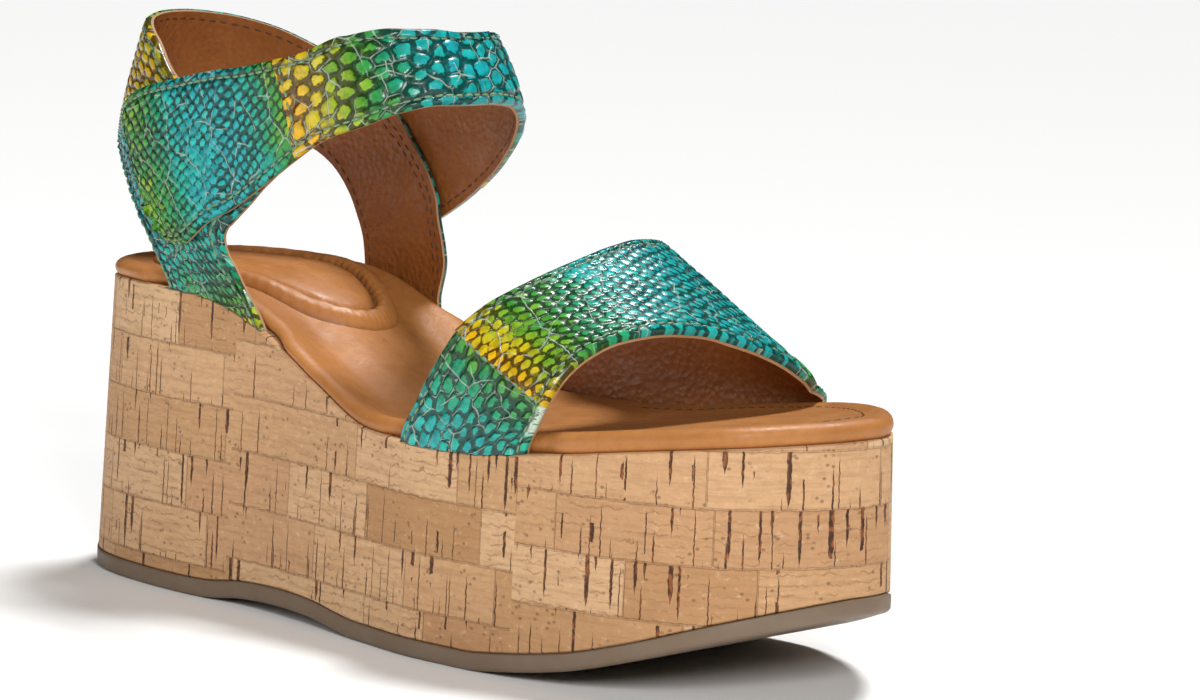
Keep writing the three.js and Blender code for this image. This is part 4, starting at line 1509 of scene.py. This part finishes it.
@dataclass
class Strap:
    """A strap of two layers: printed skin turned round its edge, and a lining with a cut edge."""

    name: str
    surface: Callable[[Array, Array], Array]
    hue: Callable[[Array, Array], Array]
    panels: tuple[Panel, ...]
    steps: tuple[int, int]
    seed: int
    outwards: float = 1.0
    trim: tuple[bool, bool] = (True, True)
    nodes: tuple[str, ...] = ()
    edge_inset: float = 2.2 * MM
    skin: float = 1.3 * MM
    emboss: float = 0.3 * MM
    seam_depth: float = 0.4 * MM
    turn_width: float = 1.3 * MM
    turn_depth: float = 0.55 * MM
    layer_gap: float = 0.05 * MM
    closed_start: bool = False
    fray: tuple[float, float] = (2.0, 2.1)

    def ends(self, v: Array) -> tuple[Array, Array]:
        """Where the strap meets the cork's top, for each place across it.

        Args:
            v: Shares across the strap.

        Returns:
            The first and the last share along it that show.
        """
        fine = np.linspace(0, 1, 1201)
        grid_u, grid_v = np.meshgrid(fine, v)
        points = self.surface(grid_u, grid_v)
        height = points[..., 2] - LAST.cork_top(points[..., 0]) - 0.05 * MM
        half = len(fine) // 2
        start, end = np.zeros_like(v), np.ones_like(v)
        if self.trim[0]:
            start = fine[half - 1 - np.argmax(height[:, :half][:, ::-1] < 0, axis=1)]
        if self.trim[1]:
            end = fine[half + np.argmax(height[:, half:] < 0, axis=1)]
        return start, end

    def lay(self) -> None:
        """Work out the middle face, its normals and its own lengths."""
        columns, rows = self.steps
        v = np.linspace(0, 1, rows + 1)
        start, end = self.ends(v)
        self.u = start[:, None] + (end - start)[:, None] * np.linspace(0, 1, columns + 1)[None, :]
        self.v = np.broadcast_to(v[:, None], self.u.shape)
        self.middle = self.surface(self.u, self.v)
        self.normal = normals_of(self.middle) * self.outwards
        self.outer = self.middle + self.normal * LAST.wall / 2
        step_s = np.linalg.norm(np.diff(self.middle, axis=1), axis=-1).mean(axis=0)
        s = np.concatenate([[0], np.cumsum(step_s)])
        step_t = np.linalg.norm(np.diff(self.middle, axis=0), axis=-1)
        t = np.concatenate([np.zeros((1, columns + 1)), np.cumsum(step_t, axis=0)])
        self.width = t[-1]
        self.s = np.broadcast_to(s, self.u.shape)
        self.t = t - self.width / 2
        walk = np.cumsum(np.linalg.norm(np.diff(self.middle, axis=1), axis=-1), axis=1)
        self.from_start = np.concatenate([np.zeros((rows + 1, 1)), walk], axis=1)

    def frayed(self) -> Array:
        """Where the fold of the skin has frayed, from 0 to 1.

        Returns:
            The share at each point of the strap.
        """
        start, end = self.fray
        begun = smoothstep(self.u, start - 0.01, start + 0.01)
        along = begun * (1 - smoothstep(self.u, end - 0.01, end + 0.002))
        return along * smoothstep(self.t, self.width / 2 - 2.4 * MM, self.width / 2 - 0.8 * MM)

    def relief(self, edge: Array, lift: Array) -> Array:
        """How far the skin stands off its plain face, rounded down at its borders.

        Args:
            edge: Distance to the scale's edge.
            lift: How far the skin stands proud.

        Returns:
            The height over the plain face.
        """
        scales = self.emboss * smoothstep(edge, 0.04, 0.24)
        to_edge = self.width / 2 - np.abs(self.t)
        if self.closed_start:
            to_edge = np.minimum(to_edge, self.from_start)
        near = np.clip(1 - to_edge / self.turn_width, 0, 1)
        self.groove = bell(to_edge, self.edge_inset, 0.6 * MM)
        sewn = self.seam_depth * self.groove
        return scales * smoothstep(to_edge, 0.3 * MM, 1.4 * MM) + lift - self.turn_depth * near**2 - sewn

    def build(self, finishes: Finishes) -> bpy.types.Object:
        """Make the wall, emboss its outer face and dress it.

        Args:
            finishes: The sandal's materials.

        Returns:
            The dressed skin.
        """
        self.lay()
        edge, tone, lift = ScaleField(self.seed).fill(self.s, self.t, self.u, self.panels)
        piece = sheet(self.name, self.outer, np.stack([self.s, self.t], -1))
        row, column = grid_places(piece)
        rise = self.relief(edge, lift)
        # The groove's mask is also stored for the print, which paints shade along the groove.
        values_by_name = {
            "scale_edge": edge,
            "scale_tone": tone,
            "hue": self.hue(self.u, self.v),
            "crease_shade": self.groove,
            "fray": self.frayed(),
        }
        for name, values in values_by_name.items():
            store(piece, name, values[row, column])
        self.face_outwards(piece, row, column)
        thicken(piece, self.skin)
        moved = self.normal * rise[..., None]
        place = vertex_places(piece.data)
        place[:len(row)] += moved[row, column]
        piece.data.vertices.foreach_set("co", place.ravel())
        self.embossed = self.outer + moved
        piece.data.update()
        smooth(piece, 60)
        dress(piece, [finishes.snake], Slot.SNAKE, *self.nodes)
        self.line_inside(finishes)
        return piece

    def line_inside(self, finishes: Finishes) -> None:
        """The lining, with soft creases and a cut edge that shows as a thin line.

        Args:
            finishes: The sandal's materials.
        """
        pick = (slice(None, None, 2), slice(None, None, 2))
        face = (self.outer - self.normal * (self.skin + self.layer_gap))[pick]
        normal, s, t = self.normal[pick], self.s[pick], self.t[pick]
        piece = sheet(self.name + "_lining", face, np.stack([s, t], -1))
        row, column = grid_places(piece)
        self.face_outwards(piece, row * 2, column * 2)
        piece.data.materials.append(finishes.lining)
        piece.data.materials.append(finishes.cut)
        thicken(piece, LAST.wall - self.skin, material_offset_rim=1)
        smooth(piece, 50)
        index = np.empty(len(piece.data.polygons), int)
        piece.data.polygons.foreach_get("material_index", index)
        dress(piece, [finishes.lining, finishes.cut], Slot.TAN, *self.nodes)
        piece.data.polygons.foreach_set("material_index", index)

    def face_outwards(self, piece: bpy.types.Object, row: Array, column: Array) -> None:
        """Turn the grid's faces to the side that the normals point to.

        Args:
            piece: The piece to turn.
            row: Each vertex's row.
            column: Each vertex's column.
        """
        polygon = piece.data.polygons[len(piece.data.polygons) // 2]
        corner = polygon.vertices[0]
        if Vector(self.normal[row[corner], column[corner]]).dot(polygon.normal) < 0:
            piece.data.flip_normals()

    def line(self, u: Array, v: Array, inside: bool = False) -> tuple[Array, Array]:
        """A path over the skin, or over the lining, with its outward normals.

        Args:
            u: Shares along the strap.
            v: Shares across it.
            inside: Whether the path lies on the lining.

        Returns:
            The points and the normals there.
        """
        normal = sample(self.normal, u, v)
        if inside:
            return sample(self.outer - self.normal * LAST.wall, u, v), -normal
        return sample(self.embossed, u, v), normal

    def edge_lines(self, sewn: Stitching, inside: bool) -> None:
        """Stitch runs along both long edges.

        Args:
            sewn: The stitching to add to.
            inside: Whether the runs lie on the lining.
        """
        u = np.linspace(0, 1, 400)
        width = np.interp(u, np.linspace(0, 1, len(self.width)), self.width)
        share = self.edge_inset / width
        sewn.run(*self.line(u, share, inside))
        sewn.run(*self.line(u, 1 - share, inside))

    def start_line(self, sewn: Stitching) -> None:
        """A stitch run along the strap's closed end.

        Args:
            sewn: The stitching to add to.
        """
        v = np.linspace(0.06, 0.94, 80)
        columns = np.linspace(0, 1, self.from_start.shape[1])
        rows = np.rint(v * (self.from_start.shape[0] - 1)).astype(int)
        u = np.array([np.interp(self.edge_inset, self.from_start[row], columns) for row in rows])
        sewn.run(*self.line(u, v))

    def cross_line(self, sewn: Stitching, u_share: float) -> None:
        """A stitch run straight across the strap at a share of its columns."""
        v = np.linspace(0.07, 0.93, 60)
        sewn.run(*self.line(np.full_like(v, u_share), v))


def vamp_surface(u: Array, v: Array) -> Array:
    """The vamp's middle face, from its back edge at v of 0 to its front edge at 1.

    Args:
        u: Shares along the strap.
        v: Shares across it.

    Returns:
        The points.
    """
    c = VAMP_CURVES
    x = LAST.length * mix(c["back"](u), c["front"](u), v)
    across = mix(c["back_across"](u), c["front_across"](u), v)
    return LAST.vamp_point(x, across, mix(c["back_up"](u), c["front_up"](u), v))


def quarters_surface(u: Array, v: Array) -> Array:
    """The quarters' middle face, from their rear edge at v of 0 to their front and top at 1.

    Args:
        u: Shares along the strap.
        v: Shares across it.

    Returns:
        The points.
    """
    c = QUARTER_CURVES
    angle = mix(c["rear_angle"](u), c["front_angle"](u), v)
    return LAST.ankle_point(angle, mix(c["rear"](u), c["front"](u), v), 0.0)


def ankle_strap_surface(u: Array, v: Array) -> Array:
    """The ankle strap's middle face, from its lower edge at v of 0 to its upper edge at 1.

    Args:
        u: Shares along the strap.
        v: Shares across it.

    Returns:
        The points.
    """
    c = ANKLE_STRAP_CURVES
    angle = mix(c["low_angle"](u), c["high_angle"](u), v)
    return LAST.ankle_point(angle, mix(c["low"](u), c["high"](u), v), LAST.wall + STRAP_CLEARANCE)


VAMP_CURVES = even(VAMP)
QUARTER_CURVES = even(QUARTERS)
ANKLE_STRAP_CURVES = even(ANKLE_STRAP)


def hue_along(stops: tuple[tuple[float, float, float], ...]) -> Callable[[Array, Array], Array]:
    """Hue over a strap, from rows of place along it, hue at its v of 0 and hue at its v of 1."""
    places, first, last = (np.array(column) for column in zip(*stops))
    return lambda u, v: mix(np.interp(u, places, first), np.interp(u, places, last), v)


VAMP_HUE = (
    (0.0, 0.06, 0.14), (0.08, 0.1, 0.3), (0.15, 0.38, 0.45), (0.2, 0.55, 0.6), (0.2135, 0.6, 0.68),
    (0.2145, 0.9, 0.98), (0.25, 0.92, 0.95), (0.3, 0.66, 0.72), (0.36, 0.42, 0.5), (0.42, 0.1, 0.16),
    (0.52, 0.06, 0.08), (0.62, 0.1, 0.1), (0.66, 0.55, 0.5), (0.7, 0.9, 0.88), (0.737, 0.95, 0.9),
    (0.739, 0.72, 0.6), (0.82, 0.66, 0.4), (0.9, 0.5, 0.25), (1.0, 0.45, 0.15),
)
ANKLE_STRAP_HUE = (
    (0.0, 0.64, 0.6), (0.11, 0.62, 0.58), (0.15, 0.48, 0.42), (0.185, 0.1, 0.08), (0.24, 0.05, 0.06),
    (0.275, 0.25, 0.3), (0.3, 0.52, 0.58), (0.3185, 0.55, 0.66), (0.3195, 0.97, 0.95), (0.36, 0.92, 0.9),
    (0.43, 0.76, 0.68), (0.49, 0.5, 0.35), (0.54, 0.12, 0.08), (0.75, 0.06, 0.06), (0.86, 0.6, 0.55),
    (0.9, 0.9, 0.9), (0.905, 0.3, 0.3), (1.0, 0.2, 0.2),
)
QUARTER_HUE = (
    (0.0, 0.45, 0.95), (0.05, 0.25, 0.8), (0.11, 0.08, 0.35), (0.2, 0.0, 0.05), (0.32, 0.1, 0.15),
    (0.37, 0.7, 0.75), (0.42, 0.92, 0.95), (0.5, 0.85, 0.8), (0.55, 0.4, 0.35), (0.62, 0.12, 0.08),
    (0.75, 0.15, 0.1), (0.85, 0.25, 0.2), (0.93, 0.35, 0.35), (1.0, 0.45, 0.6),
)


@dataclass
class Upper:
    """The vamp strap, the quarters with their heel band, and the ankle strap with its tab."""

    vamp_seams: tuple[float, float] = (0.2, 0.75)
    tab_seam: float = 0.327
    patch_along: tuple[float, float] = (0.7, 0.95)
    patch_across: float = 0.86
    tape_along: tuple[float, float] = (0.13, 0.22)
    tape_across: tuple[float, float] = (0.12, 0.6)
    tape_thickness: float = 0.25 * MM
    tape_uv: float = 50 * MM

    def straps(self) -> dict[str, Strap]:
        """The three straps with their skins.

        Returns:
            The straps by name, not built yet.
        """
        return {
            "vamp": Strap(
                "vamp_skin", vamp_surface, hue_along(VAMP_HUE),
                (Panel(0, VAMP_SEAM, pitch=4.3 * MM, aspect=1.0, lean=0.15, square=5),
                 Panel(VAMP_SEAM, VAMP_STRIP_START, pitch=2.75 * MM, aspect=1.3, lean=0.55, lift=0.7 * MM),
                 Panel(VAMP_STRIP_START, VAMP_STRIP_END, pitch=11 * MM, aspect=1.25, lift=1.0 * MM, square=7,
                       stagger=0.0, fill=0.02),
                 Panel(VAMP_STRIP_END, 1, pitch=3.8 * MM, aspect=1.1, lean=-0.2)),
                steps=(300, 120), seed=3, nodes=("vamp_strap",), fray=(0.09, VAMP_SEAM)),
            "quarters": Strap(
                "quarter_skin", quarters_surface, hue_along(QUARTER_HUE),
                (Panel(0, 0.36, pitch=3.0 * MM, aspect=1.2, lean=0.2, square=5, fill=-0.02),
                 Panel(0.36, 0.55, pitch=3.6 * MM, aspect=1.2, lean=0.1),
                 Panel(0.55, 1, pitch=3.4 * MM)),
                steps=(520, 64), seed=7, nodes=("ankle_upper",)),
            "strap": Strap(
                "ankle_strap_skin", ankle_strap_surface, hue_along(ANKLE_STRAP_HUE),
                (Panel(0, TAB_END, pitch=2.7 * MM, aspect=0.95, lean=0.45, square=7, stagger=0.12, fill=0.03),
                 Panel(TAB_END, INNER_SEAM, pitch=4.6 * MM, aspect=1.1, lean=0.3, lift=0.45 * MM),
                 Panel(INNER_SEAM, 1, pitch=3.8 * MM, aspect=1.1, lean=0.1)),
                steps=(520, 70), seed=11, outwards=-1.0, trim=(False, False), closed_start=True,
                nodes=("ankle_upper",)),
        }

    def build(self, finishes: Finishes) -> None:
        """Make and dress every strap and its stitches.

        Args:
            finishes: The sandal's materials.
        """
        straps = self.straps()
        for strap in straps.values():
            strap.build(finishes)
        outside = Stitching("strap_stitches", length=2.2 * MM, gap=0.5 * MM, radius=0.36 * MM)
        inside = Stitching("lining_stitches", radius=0.28 * MM)
        for strap in straps.values():
            strap.edge_lines(outside, False)
            strap.edge_lines(inside, True)
        vamp, ankle = straps["vamp"], straps["strap"]
        for seam in self.vamp_seams:
            vamp.cross_line(outside, seam)
        ankle.start_line(outside)
        ankle.cross_line(outside, self.tab_seam)
        u = np.linspace(*self.patch_along, 160)
        inside.run(*straps["quarters"].line(u, np.full_like(u, self.patch_across), True))
        self.tape(finishes)
        outside.build(finishes.pale_thread)
        inside.build(finishes.brown_thread)

    def tape(self, finishes: Finishes) -> None:
        """The patch of loop tape that the tab holds on to.

        Args:
            finishes: The sandal's materials.
        """
        u, v = np.meshgrid(np.linspace(*self.tape_along, 60), np.linspace(*self.tape_across, 60))
        points = ankle_strap_surface(u, v)
        points = points + normals_of(points) * (LAST.wall / 2 + STRAP_CLEARANCE / 2)
        piece = sheet("loop_tape", points, np.stack([u, v], -1) * self.tape_uv)
        grid_places(piece)
        thicken(piece, self.tape_thickness, offset=0.0)
        smooth(piece, 50)
        dress(piece, [finishes.pile], Slot.TAPE)

    def feet(self) -> tuple[tuple[Side, float, float], ...]:
        """Where the straps come down on each side, as the side and the stretch of the sole.

        Returns:
            Each foot's side, start and end.
        """
        found = []
        for surface, at in ((vamp_surface, VAMP_CURVES), (quarters_surface, QUARTER_CURVES)):
            for side, low, high in ((Side.LATERAL, 0.0, 0.14), (Side.MEDIAL, 0.86, 1.0)):
                u, v = np.meshgrid(np.linspace(low, high, 80), np.linspace(0, 1, 40))
                points = surface(u, v)
                height = points[..., 2] - LAST.cork_top(points[..., 0])
                near = (height > -2 * MM) & (height < LAST.rim_height)
                found.append((side, points[..., 0][near].min(), points[..., 0][near].max()))
        return tuple(found)


@dataclass(frozen=True)
class Studio:
    """The camera at the photograph's angle, the floor and the lights."""

    azimuth: float = 41.2
    elevation: float = 7.9
    roll: float = 2.2
    distance: float = 1.35
    focal: float = 5640.0
    image_width: float = 1200.0
    sensor: float = 36.0
    look_at: tuple[float, float, float] = (0.1556, 0.0002, 0.0712)
    lamps_at: tuple[float, float, float] = (0, 0, 0.07)
    glow: tuple[float, float, float, float] = (0.0, 0.75, 0.26, 1.15)

    def camera(self) -> None:
        """Place the camera, rolled as the photograph is."""
        a, e, roll = (math.radians(v) for v in (self.azimuth, self.elevation, self.roll))
        back = Vector((math.sin(a) * math.cos(e), -math.cos(a) * math.cos(e), math.sin(e)))
        level = Vector((math.cos(a), math.sin(a), 0))
        up = back.cross(level)
        right = math.cos(roll) * level + math.sin(roll) * up
        above = math.cos(roll) * up - math.sin(roll) * level
        eye = Vector(self.look_at) + Vector(SHIFT) + back * self.distance
        data = bpy.data.cameras.new("camera")
        data.sensor_fit = "HORIZONTAL"
        data.sensor_width = self.sensor
        data.lens = self.focal * self.sensor / self.image_width
        data.clip_start, data.clip_end = 0.05, 50.0
        camera = bpy.data.objects.new("camera", data)
        turn = Matrix((right, above, back)).transposed().to_4x4()
        camera.matrix_world = Matrix.Translation(eye) @ turn
        bpy.context.scene.collection.objects.link(camera)
        bpy.context.scene.camera = camera

    def light(self, name: str, place: tuple[float, float, float], size: float, power: float) -> None:
        """An area light that looks at the sandal.

        Args:
            name: The lamp's name.
            place: Where it stands.
            size: Its side in metres.
            power: Its power in watts.
        """
        data = bpy.data.lights.new(name, "AREA")
        data.shape = "SQUARE"
        data.size = size
        data.energy = power
        lamp = bpy.data.objects.new(name, data)
        lamp.location = place
        lamp.rotation_euler = (Vector(self.lamps_at) - Vector(place)).to_track_quat("-Z", "Y").to_euler()
        bpy.context.scene.collection.objects.link(lamp)

    def sun(self, name: str, towards: tuple[float, float, float], spread: float, power: float) -> None:
        """An even light from far away, with softly edged shadows.

        Args:
            name: The lamp's name.
            towards: The way to the light.
            spread: Its width in degrees.
            power: Its strength.
        """
        data = bpy.data.lights.new(name, "SUN")
        data.angle = math.radians(spread)
        data.energy = power
        lamp = bpy.data.objects.new(name, data)
        lamp.rotation_euler = (-Vector(towards)).to_track_quat("-Z", "Y").to_euler()
        bpy.context.scene.collection.objects.link(lamp)

    def build(self) -> None:
        """Make the floor, the world, the lights and the camera."""
        deselect_all()
        bpy.ops.mesh.primitive_plane_add(size=30)
        floor = bpy.context.object
        floor.name = "floor"
        s = Shader("pale_floor")
        pale = s.finish(Base_Color=(0.95, 0.95, 0.945), Roughness=0.9, Specular_IOR_Level=0.0)
        floor.data.materials.append(pale)
        bpy.context.scene.view_settings.view_transform = "Standard"
        world = bpy.data.worlds.new("soft_room")
        world.use_nodes = True
        nodes, links = world.node_tree.nodes, world.node_tree.links
        height = nodes.new("ShaderNodeSeparateXYZ")
        links.new(nodes.new("ShaderNodeTexCoord").outputs["Generated"], height.inputs[0])
        glow = nodes.new("ShaderNodeMapRange")
        links.new(height.outputs[2], glow.inputs[0])
        for socket, value in zip(list(glow.inputs)[1:5], self.glow):
            socket.default_value = value
        links.new(glow.outputs[0], nodes["Background"].inputs[1])
        bpy.context.scene.world = world
        self.light("key", (1.25, -0.85, 0.8), 0.5, 17)
        self.light("fill", (-0.5, -1.2, 0.5), 0.8, 4)
        self.sun("overhead", (0.0, 0.4, 1.0), 16, 3.0)
        self.camera()


def main() -> None:
    """Build and dress the sandal, piece by piece."""
    logging.basicConfig(level=logging.INFO, format="%(message)s")
    Studio().build()
    finishes = Finishes()
    upper = Upper()
    Sole().build(finishes)
    Footbed(feet=upper.feet()).build(finishes)
    upper.build(finishes)


if __name__ == "__main__":
    main()
